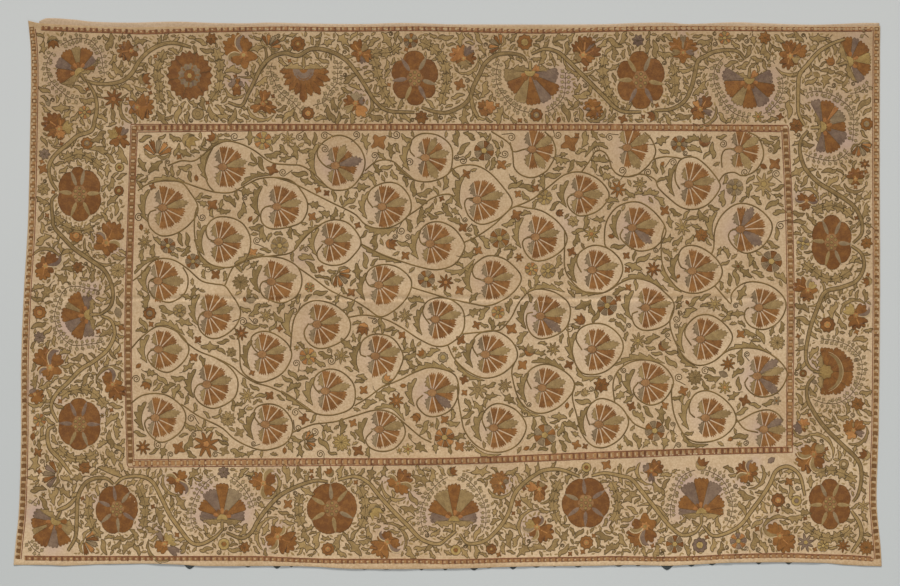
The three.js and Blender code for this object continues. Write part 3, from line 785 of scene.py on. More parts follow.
# Field vines: one long line of dark olive chain stitch that wanders from palmette to palmette, closes
# round each fan and ends in a hook at its heart. It is swept along its path by a node tree.
VINE_WIDE = 0.44
VINE_HIGH = 0.08
VINE_STEP = 0.9
CHAIN_PITCH = 0.0042
VINES = """
-93 31 -90 33 -85 34 -80 33.7 -75 32 -70 30.6 -65 30.5 -61 32.5 -57 34.5 -52 35 -47 34 -44 31 -42.2 27.5
-42.5 24 -45 21 -52 19.5 -55.5 21 -56.2 24 -55 26 -53 26.5;
-84 38.5 -80 40 -76 40 -72 43 -69 45 -66 45.9 -62 45 -58 43 -53 39.5 -48 38.8 -44 38.5 -40 36 -36 32 -33
31.1 -29 32 -25.8 36 -24.9 40 -26.5 44 -30 47 -34 47.5 -38 45 -39.3 42 -37.5 39 -35 37.5;
-70 30.6 -72 33 -73 37 -72 41 -70.5 44;
-85 34 -80 33.5 -77 30 -75.2 27 -75.3 24 -78 20.5 -82 18 -86 17.5 -89 19.5 -90 22 -89.5 24.5 -87.5 25.3;
-75.3 26 -76 23 -76 18 -75 13 -72 9.5 -69 8.2 -65 8.1 -61 10 -59.3 14 -59.6 18 -62 21.5 -66 23.1 -70 22.8
-72.5 20 -72 16.8 -70 15.8;
-94.5 4 -92 6 -89 9.5 -86 10.7 -82 10.1 -78 7.5 -74 4 -70 3 -67 2.5 -65 0 -63 -3 -62.2 -6 -64 -10 -68 -12.9
-71.5 -13.2 -74.3 -11 -75 -8 -74 -5.8 -72.8 -5.2;
-79.5 8 -78 5 -78.5 1 -81 -1.5 -84 -2.5 -88 -1 -89.8 1.5 -89.5 4 -87.5 5;
-67 2.5 -64 8.5 -58 10.8 -54 11.3 -49 10.5 -45 8 -43.8 4 -45 0 -48 -2.2 -51 -2.6 -55 -1 -56.4 1.5 -55.8 3.5
-53.8 4.2;
-52 35 -47 33.5 -40 30 -35 27.5 -28 24 -25 21 -21 19.7 -16 20.5 -12 23.5 -11 26.5 -12 30 -15 33 -19 33.4
-23 31.5 -24.2 28.5 -22.5 25.9;
-54 11.3 -47 12.5 -43 17 -38 21 -34 22.3 -30 21.3 -27 18 -26.1 15 -28 12 -31 9.3 -35 8.6 -38.5 10 -39.3
12.5 -37.5 15;
-24.9 37 -22 39.5 -19 40.3 -16 39.5 -14 37 -10 34.2 -5 33.8 0 36 1.3 40 0.8 44.5 -3 47.6 -8 48.1 -11 46
-11.4 43 -10 41.3;
-26 15 -20 12 -14 9.8 -8 8 -3 7.3 2 9 4.7 13 4.8 15.5 2 19.5 -2 21.6 -6 21.2 -8.6 18.5 -8.2 15.5 -6.8 14.5;
-45 8 -40 4.5 -36 1.5 -32 -0.5 -28 -2 -24 -4.5 -20.5 -6.8 -17 -5.5 -13 -2 -11 2 -11.5 5 -15 8 -19 8.9 -23
7.8 -24.8 5 -23.5 2.4 -22 2.2;
0 36 2 37.8 5 38.7 9 38.4 13 36 17 31.5 19.2 28 18.5 25.5 15 22.5 10 20.9 6.5 23 5 26.5 5.5 28.5 7.5 28.8;
-12 23.5 -9 25.5 -6 28 -3 29.5 0 30 2 29.3;
13 48.8 18.5 45 19.5 41 19.8 38 22 35.7 25.5 34.9 29 36.5 30.5 38.2 32.3 42 31.5 46 29 48.7;
18.6 45.5 19.5 42.7 23 43.5;
4.8 15.5 9 17.5 14 21 19.5 26 24 25.8 28 25 32 22.5 35 19 35.7 16 34 13 30 10.5 26 10 23.5 12 22.3 15 23
16.6 24.6 17;
19.5 26 25 28.3 30 32 35 35.8 40 36.6 45 34.5 48 31 48 28.5 45 25 40 23.4 37 25 35.7 27.5 36.2 29.3 37.5
29.8;
35 19 35 15 35 8 37 4 41 0.6 46 0.2 50.5 3 52.4 7 51.5 10.5 48 13.7 43.5 14.6 39.5 12.5 38.6 9.5 40 6.5;
-11 2 -6 0.5 0 -1.3 7 -2.8 12 -3.5 17 -1.5 20.5 1.5 22 4.5 21 7 17 10.5 12 11.5 8 9 7.3 7 8 5 10 4.3;
40 36.6 42.5 40 44.5 43 47 42.5 48.5 40 49 38 51 35.8 54 35.2 57 36 60 38.5 61.5 40.3 65 41.2 68 41 70
40.6;
61.5 40.3 62.3 43 61 46.5 59 48.5;
48 13.7 47 15 47.3 21 50 25.5 54 27.5 58 27.3 62 24.5 65 20.5 65 17.5 62 14 57.5 12.9 54 14.5 51.6 17.2
52.5 19.5;
54 35.2 58 36 62 34.5 63 32 66 29 70 26 74 25.4 78 27 81.2 31 81.4 33.5 78 38 74 41 70 40.5 68.3 37.5 68.2
34 69.5 31.5;
65 20.5 64 16 64.3 9 66.5 4.5 70 1 75 0.3 80 2.5 82.2 6 81.6 9 79 12 75 14.3 71 14.3 69 11.5 69.8 8.2 71.5
7.4;
81.4 34 83 36 86 36.5 88 35.5 91.5 36.5 94 39.5 94.6 43 93 47 90 48.6;
82.2 38 82 41 83 43.3 86 43.6;
79 12 79.7 14 80 19 82 23.5 86 26.8 90 27 94 25 97 21.5 96.8 18 94 14 89.5 12.2 86 14 84.1 17 84.8 19 86.5
19.5;
80 2.5 83 -1 85 -3 85 0 88 2.9 92 3.7 97 2.3 100.7 -1 101.2 -4.5 99 -8.5 95 -10.6 91 -9.8 89 -7.3 89.2 -4.8
90.3 -4;
41 0.6 47 0.5 52 3.5 56 4.7 61 3.5 65 0.5 67.8 -3 66.5 -8 63 -10.3 59 -10.9 56.5 -9.8 55.4 -8 55.2 -6 57
-5.2;
-95 -16.3 -92 -13 -88 -10 -85 -9.7 -81 -11.5 -78.3 -14.5 -77.8 -17.5 -80 -21 -84 -23.5 -88 -22 -90.2 -19
-89.2 -17 -87.5 -16.6;
-81 -11.5 -79 -14 -75 -17 -70 -19 -65 -21.5 -62 -24 -58 -26.5 -53 -28 -47 -31 -43 -34 -39 -36 -34 -36.2 -29
-34.2 -27.8 -30.5 -28.6 -26.5 -32 -23.3 -36 -22.5 -39.5 -24.3 -40.3 -27.5 -38.5 -29.8;
-70 -19 -66 -21.5 -63.3 -25 -63.2 -29 -65 -32 -70 -34.3 -74 -33 -76.2 -30 -75 -27.2 -73.5 -26.9;
-95 -32.7 -92 -30.5 -88 -29.8 -84 -30.5 -80 -33.5 -78.6 -37 -80 -41 -84 -44 -87 -44.2 -90 -41.5 -91 -38.5
-89.5 -37 -88.5 -36.9;
-64 -10 -62.5 -15 -62 -22.5 -58 -26 -55 -26.3 -50 -24 -47.3 -20 -47 -17 -49 -14 -53 -11.5 -56.5 -11.3 -59
-13 -58.6 -15.8 -57 -17.6;
-80 -33 -75 -36.5 -68 -40 -64 -43.5 -59 -46 -54.5 -46.8 -49 -45 -46.7 -41.5 -47 -37.5 -50 -34 -54 -32.9
-57.5 -34 -58.2 -36.5 -56.5 -39;
-47.3 -17 -46.8 -11 -46 -7 -43.5 -3.5 -40 -2 -35 -2.8 -31 -5.5 -29.2 -9 -30.5 -13 -35 -15.7 -39 -16.3 -42
-14.5 -43.2 -11.5 -41.8 -8.8;
-28 -33.5 -24 -31 -20 -28 -16.3 -25.5 -13.7 -20.5 -13.7 -17.5 -16 -13.8 -19 -12.2 -23 -12.2 -26 -14.5 -26.3
-18 -24.5 -18.8;
-20 -28 -14 -25.5 -10 -23.5 -5 -22 1 -23.5 2.9 -26 3.1 -30 1 -34.5 -3 -36.6 -6.5 -36.4 -9 -34 -9.3 -32 -7.5
-30.3;
-30 -7 -25 -6.3 -19 -7.5 -14 -10 -9 -13.3 -4 -15.6 0 -15.2 4 -12 5 -8 4 -4 0 -1.3 -4 -1.2 -7 -3 -7.5 -6
-5.5 -9;
-46.7 -41.5 -43 -40 -40 -39 -34 -38.3 -28 -36.5 -22 -34.8 -18 -35.2 -15 -37 -13 -40 -13.2 -43 -16 -46.3 -20
-47.2 -23.5 -46 -24.7 -43.5 -22.7 -41;
-15 -37 -11 -40.5 -8 -43 -5 -44.5;
0 -15.5 2 -19.5 6 -23.2 11 -25.2 16 -24 20 -20.5 20.8 -17.5 19 -14 15 -11.3 11 -11.2 8 -13 7.4 -16 9 -18.8;
4 -12 9 -11.5 14 -11 16 -10.5 19 -7 21 -3 24 0.5 28 1.5 33 0 36.5 -3.5 36 -9 33 -12 28 -13.5 25 -12 23.6 -9
23.7 -6 25.5 -5.5;
36 -9 36 -11.5 37 -17 38.5 -21.5 41 -24 46 -23.7 50 -21 52.5 -16.5 51.5 -12.5 47.5 -9.3 43 -8.9 39.5 -10.5
38.4 -13.5 40.2 -16.8;
20 -20.5 19.2 -22.5 19.3 -25 21 -31 24 -34.5 28 -35.8 33 -34 37 -30 38 -27 36 -24 32 -21.6 28 -21.1 24.5
-22.8 23.6 -25.5 25 -28.5;
2.9 -27 3 -31 4 -37 5 -41 8 -45 12 -47.2 17 -47.2 21 -45 23.3 -41 23 -38 20 -34.5 15 -32.8 11.5 -34.5 10.2
-37.5 11.5 -41;
38 -27 37.3 -31 38.5 -36 40 -41.5 43 -45.3 47 -46 51.5 -43.5 54 -39.5 53.5 -36 50.5 -32.8 46 -31.3 42.8 -33
41.5 -36 42.5 -39.3;
67.8 -4 66.5 -8.5 68 -14 71 -19 75 -21.4 80 -20 84 -16 85.3 -12.5 83 -9 79 -6.4 75 -6.5 72 -9 71 -12 73
-15.4;
50 -32.5 49.5 -27 51 -23 55 -20.3 60 -19.8 64.5 -21.5 67.3 -25 67.3 -28 64.5 -32 60.5 -33.3 57 -31.5 55.5
-28.8 57 -26.6;
80 -20 84 -17 88 -16.2 93 -16.5 97.5 -18.5 101 -22 101.6 -25 99 -29.3 94.5 -30.9 91 -29.7 89 -27 90 -25;
67.3 -27 67 -30 67.8 -36 70 -41 73 -44 78 -44.3 83 -42.5 86.3 -38.5 85.5 -34.5 82 -30.8 78 -29 74.5 -29.7
72.5 -32.5 72.5 -35.5 74 -37;
86.3 -38.5 88 -37.7 92 -35.5 96 -34.7 99 -36 100.5 -38;
86.5 -37.5 89 -40.5 93 -41.5;
53.5 -36 56 -39 60 -40.8;
"""


def open_tree(name, sizes):
    """A node tree that takes geometry and some sizes: its graph, what goes in and the sizes' keys."""
    tree = bpy.data.node_groups.new(name, "GeometryNodeTree")
    tree.interface.new_socket("Geometry", in_out="INPUT", socket_type="NodeSocketGeometry")
    keys = {size: tree.interface.new_socket(size, in_out="INPUT", socket_type="NodeSocketFloat").identifier
            for size in sizes}
    tree.interface.new_socket("Geometry", in_out="OUTPUT", socket_type="NodeSocketGeometry")
    graph = Graph(tree)
    given = tree.nodes.new("NodeGroupInput")
    return graph, [Link(graph, given.outputs[k]) for k in range(len(sizes) + 1)], keys


def close_tree(graph, shape, material):
    """Makes a tree's shape real, gives it its material and sends it out."""
    real = graph.node("GeometryNodeRealizeInstances", inputs={0: shape})
    dressed = graph.node("GeometryNodeSetMaterial", inputs={"Geometry": real, "Material": material})
    leave = graph.tree.nodes.new("NodeGroupOutput")
    graph.tree.links.new(dressed.socket, leave.inputs[0])


def keep_value(graph, shape, value, name):
    """Keeps a value on a shape under a name: the shape and the value as they leave the node."""
    keep = graph.tree.nodes.new("GeometryNodeCaptureAttribute")
    keep.capture_items.new("FLOAT", name)
    graph.tree.links.new(shape.socket, keep.inputs[0])
    graph.tree.links.new(value.socket, keep.inputs[1])
    return Link(graph, keep.outputs[0]), Link(graph, keep.outputs[1])


def sweep_tree(name, material):
    """A node tree that sweeps a flat cord along every line of a curve object."""
    graph, given, sizes = open_tree(name, ("Step", "Half Width", "Height"))
    line, step, half_width, high = given
    even = graph.node("GeometryNodeResampleCurve", {"mode": "LENGTH"}, {"Curve": line, "Length": step})
    upright = graph.node("GeometryNodeSetCurveNormal", {"mode": "Z_UP"}, {"Curve": even})
    round_line = graph.node("GeometryNodeCurvePrimitiveCircle", inputs={"Resolution": 6})
    size = graph.node("ShaderNodeCombineXYZ", inputs={0: half_width, 1: high, 2: 1.0})
    profile = graph.node("GeometryNodeTransform", inputs={"Geometry": round_line, "Scale": size})
    core, run = keep_value(graph, upright, graph.node("GeometryNodeSplineParameter", output=1), "Run")
    rim, around = keep_value(graph, profile, graph.node("GeometryNodeSplineParameter"), "Around")
    swept = graph.node("GeometryNodeCurveToMesh", inputs={
        "Curve": core, "Profile Curve": rim, "Fill Caps": True})
    pair = graph.node("ShaderNodeCombineXYZ", inputs={0: run, 1: around * 0.012})
    mapped = graph.node("GeometryNodeStoreNamedAttribute", {"data_type": "FLOAT2", "domain": "CORNER"},
                        {"Geometry": swept, "Name": "thread", "Value": pair})
    close_tree(graph, mapped, material)
    return graph.tree, sizes


def curve_piece(name, lines, lift, laid=True):
    """A curve object with one straight-jointed line for each path, laid on the cloth or left flat."""
    data = bpy.data.curves.new(name, "CURVE")
    data.dimensions = "3D"
    for line in lines:
        height = cloth_top(line[:, 0], line[:, 1]) * laid + lift
        points = np.column_stack([line * CM, height * CM, np.ones(len(line))])
        spline = data.splines.new("POLY")
        spline.points.add(len(line) - 1)
        spline.points.foreach_set("co", points.ravel())
    return place_object(name, data)


def make_plain(source, name, tree, values):
    """Runs a node tree on an object and keeps the result as a plain mesh object."""
    modifier = source.modifiers.new("maker", "NODES")
    modifier.node_group = tree
    for key, value in values.items():
        modifier[key] = value
    depsgraph = bpy.context.evaluated_depsgraph_get()
    mesh = bpy.data.meshes.new_from_object(source.evaluated_get(depsgraph), depsgraph=depsgraph)
    source.modifiers.remove(modifier)
    bpy.data.objects.remove(source)
    mesh.name = name
    mesh.polygons.foreach_set("use_smooth", np.ones(len(mesh.polygons), bool))
    piece = place_object(name, mesh)
    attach(piece, "root")
    return piece


def chain_stitch(name, deep, pale):
    """Corded line of chain stitch: a row of small loops, with painted shade where each goes down."""
    material, graph, shader = finish(name, 0.7, 0.08)
    along = graph.parts(graph.node("ShaderNodeUVMap", {"uv_map": "thread"}))[0]
    loop = (along * (2 * math.pi / CHAIN_PITCH)).wave()
    wear = graph.noise(graph.node("ShaderNodeTexCoord", output=3), 22.0, 4.0)
    body = graph.mix(wear.between(0.3, 0.7), colour(*deep), colour(*pale))
    painted_shade_loops = graph.mix(loop.between(0.1, 1.0) * 0.35, body, colour(*[v * 0.7 for v in deep]))
    feed(shader, {"Base Color": painted_shade_loops, "Normal": graph.relief(loop * -1.0, 0.5, 0.0006)})
    return material


vine_material = chain_stitch("vine_chain_stitch", (102, 79, 40), (132, 105, 58))
vine_tree, vine_sizes = sweep_tree("vine_cord", vine_material)
vine_lines = [smooth(path(row)) for row in table(VINES)]
for line in vine_lines:
    for offset in (-0.35, 0, 0.35):
        mark(line + offset)
vine_source = curve_piece("vine_paths", vine_lines, 0.02)
vines = make_plain(vine_source, "field_vines", vine_tree, {
    vine_sizes["Step"]: VINE_STEP * CM, vine_sizes["Half Width"]: VINE_WIDE / 2 * CM,
    vine_sizes["Height"]: VINE_HIGH * CM})

# Field leaves: a serrated crescent hugs the left of nearly every ring, and long saw-edged leaves lie
# along the vines. They are olive silk with a darker corded edge.
# Long leaves on the vines: start, bend and end places, then width, teeth and the toothed side
VINE_LEAVES = """
-88 -9.5 -84 -9.3 -79 -12.3 1.5 5 1; -25 20.5 -20 19.2 -15 20 1.9 6 -1;
-11 -23.5 -5 -21.8 2 -23.3 1.5 6 1; 25 -20.5 30 -20.6 35 -22.8 1.5 5 1;
50 -21.5 57 -19.3 65 -20.8 1.5 6 1; 84 -16.8 90 -15.8 97 -17.8 1.4 6 1;
24 0.8 29 2 35 0.6 1.4 5 1; 52 3.8 58 4.9 66 0.8 1.5 6 1;
-50 -29 -45 -32.3 -40 -35.6 1.5 5 -1; -26 14.8 -20 11.6 -14 9.4 1.3 6 -1;
-46 13.4 -42 18 -38 20.8 1.5 6 1; -1 7.2 4 7.2 8 10.5 1.4 5 -1;
-41 37 -39.5 34.5 -36 31.9 1.3 5 -1; -16 39.6 -13.5 37 -10 34.2 1.3 5 -1;
-64 8.8 -60 10.8 -55 11.8 1.4 5 1; -72 43 -69 45.3 -65 46.2 1 4 1;
-94 6 -91 9 -86.5 11.2 1.3 5 1; -90 33 -85 34.4 -79 33.8 1.3 5 1;
-62 32.5 -58 35 -53 35.8 1.4 5 1; 36 4 39 1.4 44 -0.2 1.4 5 -1;
64.3 9 66 4.8 70 0.5 1.4 5 -1; -75 13 -72 9 -67 7.6 1.4 5 -1;
48 43.5 44.5 44.5 41 41 1.3 5 -1; -22 -34.4 -17 -34.2 -13 -38 1.4 5 1;
7 -45 11 -47.9 16 -48 1 5 -1; 70 -41.5 73 -44.8 78 -45.1 1.2 5 -1;
20.5 -31 23.5 -35 28 -36.6 1.3 5 -1; 38.5 -22 41 -24.8 46 -24.6 1.3 5 -1;
69 -16 71 -19.8 75 -22.2 1.3 5 -1; 2 -20 6 -24 11 -26 1.3 5 -1;
"""
leaves = Stitching()
for x, y, radius, west, east, top, bottom, lobes in PALMETTES:
    if west < -93 or west + 3 > 90 or top > 49:
        continue
    middle = (top + bottom) / 2
    line = [(west + 0.6, top - 2.6), (west - 1.1, top - 5.5), (west - 1.3, middle - 1.2),
            (west - 0.1, middle - 4)]
    saw_leaf(leaves, line, 1.7 + 0.4 * chance.random(), int(chance.integers(4, 6)), side=-1, thread="leaf",
             edge=0.22, deep=0.68)
for *places, wide, teeth, side in table(VINE_LEAVES):
    saw_leaf(leaves, path(places), float(wide) * 1.25, int(teeth), int(side), thread="leaf",
             back=0.12, deep=0.6)
leaves.sew("field_leaves")

# Guard bands: narrow bands of red-brown, pink and cream blocks on tan silk, between dark red lines. One
# runs round the whole cover and one between border and field. The blocks are short satin stitch.


def block_tree(name, material):
    """A node tree that sets blocks of satin stitch evenly along every line of a curve object."""
    graph, given, sizes = open_tree(name, ("Pitch", "Length", "Width", "Height"))
    line, pitch, length, width, height = given
    stops = graph.node("GeometryNodeCurveToPoints", {"mode": "LENGTH"}, {"Curve": line, "Length": pitch})
    ahead = Link(graph, stops.socket.node.outputs[1])
    way = graph.node("FunctionNodeAlignRotationToVector", {"axis": "X"}, {"Vector": ahead})
    size = graph.node("ShaderNodeCombineXYZ", inputs={0: length, 1: width, 2: height})
    block = graph.node("GeometryNodeMeshCube", inputs={"Size": size, "Vertices X": 3, "Vertices Y": 3})
    where = graph.node("GeometryNodeInputPosition")
    mapped = graph.node("GeometryNodeStoreNamedAttribute", {"data_type": "FLOAT2", "domain": "CORNER"},
                        {"Geometry": block, "Name": "thread", "Value": where})
    uneven = graph.node("FunctionNodeRandomValue", {"data_type": "FLOAT_VECTOR"},
                        {0: (0.75, 0.8, 0.8), 1: (1.2, 1.1, 1.1), "Seed": 5})
    placed = graph.node("GeometryNodeInstanceOnPoints", inputs={
        "Points": stops, "Instance": mapped, "Rotation": way, "Scale": uneven})
    shade = graph.node("FunctionNodeRandomValue", inputs={2: 0.0, 3: 1.0, "Seed": 9}, output=1)
    toned = graph.node("GeometryNodeStoreNamedAttribute", {"data_type": "FLOAT", "domain": "INSTANCE"},
                       {"Geometry": placed, "Name": "tone", "Value": shade})
    close_tree(graph, toned, material)
    return graph.tree, sizes


def drape(piece):
    """Lets a flat piece down onto the cloth."""
    places = np.zeros(len(piece.data.vertices) * 3)
    piece.data.vertices.foreach_get("co", places)
    places = places.reshape(-1, 3)
    places[:, 2] += cloth_top(places[:, 0] / CM, places[:, 1] / CM) * CM
    piece.data.vertices.foreach_set("co", places.ravel())


def trimmed(line, start, step=0.3):
    """The same line in even steps, from a little way along it."""
    even = smooth(line, step)
    return even[int(round(start / step)):]


def corner_path(*sides):
    """One closed run of lines through the four sides of a band."""
    return np.concatenate([smooth(path(side), 1.0)[:-1] for side in sides] + [path(sides[0])[:1]])


inner_out = corner_path(
    "-95.1 50.9 -40 50.9 0 50.9 60 50.8 102.1 50.6",
    "102.1 50.6 103.3 25 103.8 0 103.6 -25 103.3 -47.5",
    "103.3 -47.5 75 -48.2 45.6 -49.4 0.6 -51 -44 -51.5 -96.2 -51.9",
    "-96.2 -51.9 -96.9 -25 -96.8 0 -95.8 30 -95.1 50.9")
inner_in = corner_path(
    "-93.1 48.6 -40 49.1 0 49.2 60 49.1 100.1 48.7",
    "100.1 48.7 101.2 25 101.7 0 101.6 -25 101.6 -45.9",
    "101.6 -45.9 75 -46.4 45.6 -47.4 0.6 -49.2 -44 -49.4 -94.2 -49.7",
    "-94.2 -49.7 -94.9 -25 -94.8 0 -93.9 30 -93.1 48.6")
inner_mid = corner_path(
    "-94.1 49.8 -40 50 0 50 60 50 101.1 49.7",
    "101.1 49.7 102.3 25 102.8 0 102.6 -25 102.4 -46.7",
    "102.4 -46.7 75 -47.3 45.6 -48.4 0.6 -50.1 -44 -50.4 -95.2 -50.8",
    "-95.2 -50.8 -95.9 -25 -95.8 0 -94.8 30 -94.1 49.8")
inner_corner, low_corner, last_corner = (
    int(np.argmin(np.hypot(*(inner_mid - place).T)))
    for place in [(101.1, 49.7), (102.4, -46.7), (-95.2, -50.8)])
top_line = smooth(path("""
-122 79.2 -110 78.6 -100 78.3 -90 78 -80 78.4 -65 78.7 -50 79 -30 78.8 -10 79 5 78.7 15 78.4 30 78.25 45 78.7
70 79.1 100 78.85 127 78.8"""), 1.0)
bottom_line = smooth(path("""
-127 -78.6 -115 -78.7 -60 -78.7 -50 -79 -35 -79.5 -10 -79.5 0 -79.7 20 -79.2 40 -78.9 50 -78.7 65 -78.9
78 -78.5 85 -78.1 100 -77.8 110 -78.1 120 -78.4 127 -78.9"""), 1.0)
side_levels = np.linspace(-79.5, 79.5, 80)
left_side = np.column_stack([follow(LEFT_EDGE, side_levels), side_levels])
right_side = np.column_stack([follow(RIGHT_EDGE, side_levels), side_levels])
guard_lines = [inner_out, inner_in, top_line, bottom_line, left_side + [2.1, 0], right_side - [2.1, 0]]
GUARD_PITCH = 3.55
SIDE_PITCH = 1.95
INNER_WIDE = 1.6
BLOCK_HIGH = 0.12
CORD_STEP = 1.2
CORD_WIDE = 0.26
CORD_HIGH = 0.07
red_material = chain_stitch("red_chain_stitch", (116, 68, 38), (144, 92, 58))
red_tree, red_sizes = sweep_tree("red_cord", red_material)
guard_cords = make_plain(curve_piece("guard_lines", guard_lines, 0.02), "guard_cords", red_tree, {
    red_sizes["Step"]: CORD_STEP * CM, red_sizes["Half Width"]: CORD_WIDE / 2 * CM,
    red_sizes["Height"]: CORD_HIGH * CM})
brick = silk("brick_red", (104, 62, 34), (134, 88, 52))
umber = silk("umber", (108, 72, 36), (138, 98, 52))
pink = silk("faded_pink", (136, 91, 54), (168, 122, 80))
dull = silk("dull_cream", (168, 136, 96), (196, 166, 124))
long_rows = [(smooth(inner_mid[:inner_corner], 1.0), INNER_WIDE),
             (smooth(inner_mid[low_corner:last_corner], 1.0), INNER_WIDE),
             (top_line + [0, 0.68], 1.1), (bottom_line - [0, 0.72], 1.1)]
side_rows = [(smooth(inner_mid[inner_corner:low_corner], 1.0), INNER_WIDE),
             (smooth(inner_mid[last_corner:], 1.0), INNER_WIDE),
             (left_side + [1.05, 0], 1.5), (right_side - [1.05, 0], 1.5)]
for name, rows, material, start, pitch, length, spare in (
        ("brick", long_rows, brick, 0.6, GUARD_PITCH / 2, 0.62, 0.0),
        ("pink", long_rows, pink, 0.6 + GUARD_PITCH / 4, GUARD_PITCH, 1.1, 0.15),
        ("cream", long_rows, dull, 0.6 + GUARD_PITCH / 4, GUARD_PITCH / 2, 0.5, 0.65),
        ("umber", side_rows, umber, 0.6, SIDE_PITCH, 1.05, 0.1),
        ("side_cream", side_rows, dull, 0.6 + SIDE_PITCH / 2, SIDE_PITCH, 0.6, 0.6)):
    tree, sizes = block_tree(name + "_blocks", material)
    for row, (line, wide) in enumerate(rows):
        rise = 0.04 + 0.02 * ("cream" in name)
        source = curve_piece("guard_line", [trimmed(line, start)], rise, laid=False)
        blocks = make_plain(source, f"guard_{name}_{row}", tree, {
            sizes["Pitch"]: pitch * CM, sizes["Length"]: length * CM,
            sizes["Width"]: (wide - spare) * CM, sizes["Height"]: BLOCK_HIGH * CM})
        drape(blocks)
        blocks.data.polygons.foreach_set("use_smooth", np.zeros(len(blocks.data.polygons), bool))
        "silk_ochre" if "cream" in name else "silk_rust"
ground_blocks = Stitching()
for line, wide in long_rows + side_rows:
    ground_blocks.band("tan", smooth(line, 0.8), wide * 0.5, wide * 0.5, full=0.03)
ground_blocks.sew("guard_ground")
for line in guard_lines:
    for offset in (-0.3, 0, 0.3):
        mark(smooth(line, 0.2) + offset)

# Small flowers of the field: stars, daisies, tulips, maple leaves and squares on thin sprigs, each
# filled with one or two silks and edged in dark thread.


CODES = {"r": "rust", "f": "faded", "o": "orange", "y": "ochre", "v": "olive", "g": "grey", "m": "mauve",
         "s": "moss", "c": "cream"}
TULIP_CUP = path("""
-0.9 0.15 -0.5 0.55 0.1 0.75 0.95 0.85 0.5 0.35 1.05 0 0.5 -0.35 0.95 -0.85 0.1 -0.75 -0.5 -0.55 -0.9 -0.15
""")
TULIP_CALYX = path("-1 0 -0.7 0.6 0.1 0.95 -0.35 0.4 -0.3 0 -0.35 -0.4 0.1 -0.95 -0.7 -0.6")
BUD = path("-1 0 -0.3 0.6 0.4 0.6 1.1 0.1 0.5 -0.55 -0.3 -0.6")


def flower(work, x, y, radius, kind, silk_codes, turn=None):
    """One small flower, by kind: star, daisy, round, quad, tulip, maple, circle, bud or leafy."""
    middle = np.array([x, y])
    turn = any_turn() if turn is None else turn
    main, second = CODES[silk_codes[0]], CODES[silk_codes[-1]]
    edge = 0.12 if radius < 1.5 else 0.15
    if kind == "star":
        points = 6 if radius < 1.9 else 8
        outline = star(radius * 1.12, points, 0.6, turn, 0.8) * (0.9 + 0.2 * chance.random((points * 6, 1)))
        work.patch(main, middle + outline, middle, edge=edge)
        work.patch(second, middle + star(radius * 0.3, 5, 0.2), lift=0.03, edge=0.08)
    elif kind == "daisy":
        for k in range(8):
            angle = turn + k * math.pi / 4
            petal = wedge(angle - 0.36, angle + 0.36, radius * 0.3, radius, 0.12, 1, 0.1)
            core = middle + ray(angle, 0.65 * radius)
            work.patch(main if k % 2 else second, middle + petal, core, lay=angle, edge=0.09)
        work.patch("ochre", middle + star(radius * 0.3, 5, 0.15), lift=0.03, edge=0.08)
    elif kind == "round":
        work.patch(main, middle + star(radius, 9, 0.14, turn), middle, edge=edge)
        work.patch(second, middle + star(radius * 0.5, 7, 0.12), lift=0.03, edge=0.09)
        work.patch("ochre", middle + star(radius * 0.22, 5, 0.1), lift=0.05)
    elif kind == "quad":
        turn = chance.normal(0.1, 0.25)
        outline = star(radius * 1.35, 4, 0.5, turn + math.pi / 4, 0.75)
        outline = outline * (0.9 + 0.2 * chance.random((24, 1)))
        work.patch("faded" if main == "rust" else main, middle + outline, middle, edge=0.08)
    elif kind == "tulip":
        work.patch(main, middle + turned(TULIP_CUP, turn) * radius, middle, lay=turn, edge=edge)
        work.patch(second, middle + turned(TULIP_CALYX, turn) * radius, lift=0.03, edge=0.1)
    elif kind == "leafy":
        foot = middle - ray(turn, 0.7 * radius)
        for k in range(5):
            angle = turn + (k - 2) * 0.48
            petal = wedge(angle - 0.2, angle + 0.2, 0.3 * radius, 1.75 * radius, 0.1,
                          3, 0.3 * radius, 1.0, 0.1)
            thread = (main, second, "grey")[k % 3]
            work.patch(thread, foot + petal, foot + ray(angle, radius), lay=angle, edge=edge)
        for side in (-1, 1):
            angle = turn + side * 1.55
            line = np.stack([ray(turn, 0.1), ray(angle, 0.7), ray(angle - side * 0.35, 1.4)]) * radius
            saw_leaf(work, foot + line, radius * 0.3, 3, side, edge=0.12)
    elif kind == "maple":
        lobes = 11 if radius > 2.2 else 7
        outline = star(radius * 1.05, lobes, 0.3, turn, 0.8)
        outline = outline * (0.92 + 0.16 * chance.random((lobes * 6, 1)))
        work.patch(main, middle + outline, middle, edge=edge)
        for k in range(lobes):
            tip = middle + ray(turn + k * 2 * math.pi / lobes, 0.8 * radius)
            work.cord("dark", [middle, (middle + tip) / 2, tip], 0.09, lift=0.05)
    elif kind == "circle":
        work.patch(main, middle + star(radius * 0.8, 10, 0.05), middle, edge=0.16)
        work.patch(second, middle + star(radius * 0.35, 6, 0.1), lift=0.03, edge=0.1)
    elif kind == "bud":
        work.patch(main, middle + turned(BUD, turn) * radius, lay=turn, edge=0.09)


def spiral(work, x, y, radius, turn, way=1):
    """A tight curl of stem with a short tail."""
    t = np.linspace(0, 1, 26)
    reach = radius * (0.12 + 0.88 * t ** 0.8)
    angle = turn + way * t * 3.4 * math.pi
    curl = np.array([x, y]) + polar(angle, reach)
    tail = curl[-1] + (curl[-1] - curl[-3]) * 2.2
    work.cord("dark", np.concatenate([curl, [tail]]), 0.27, lift=0.01)


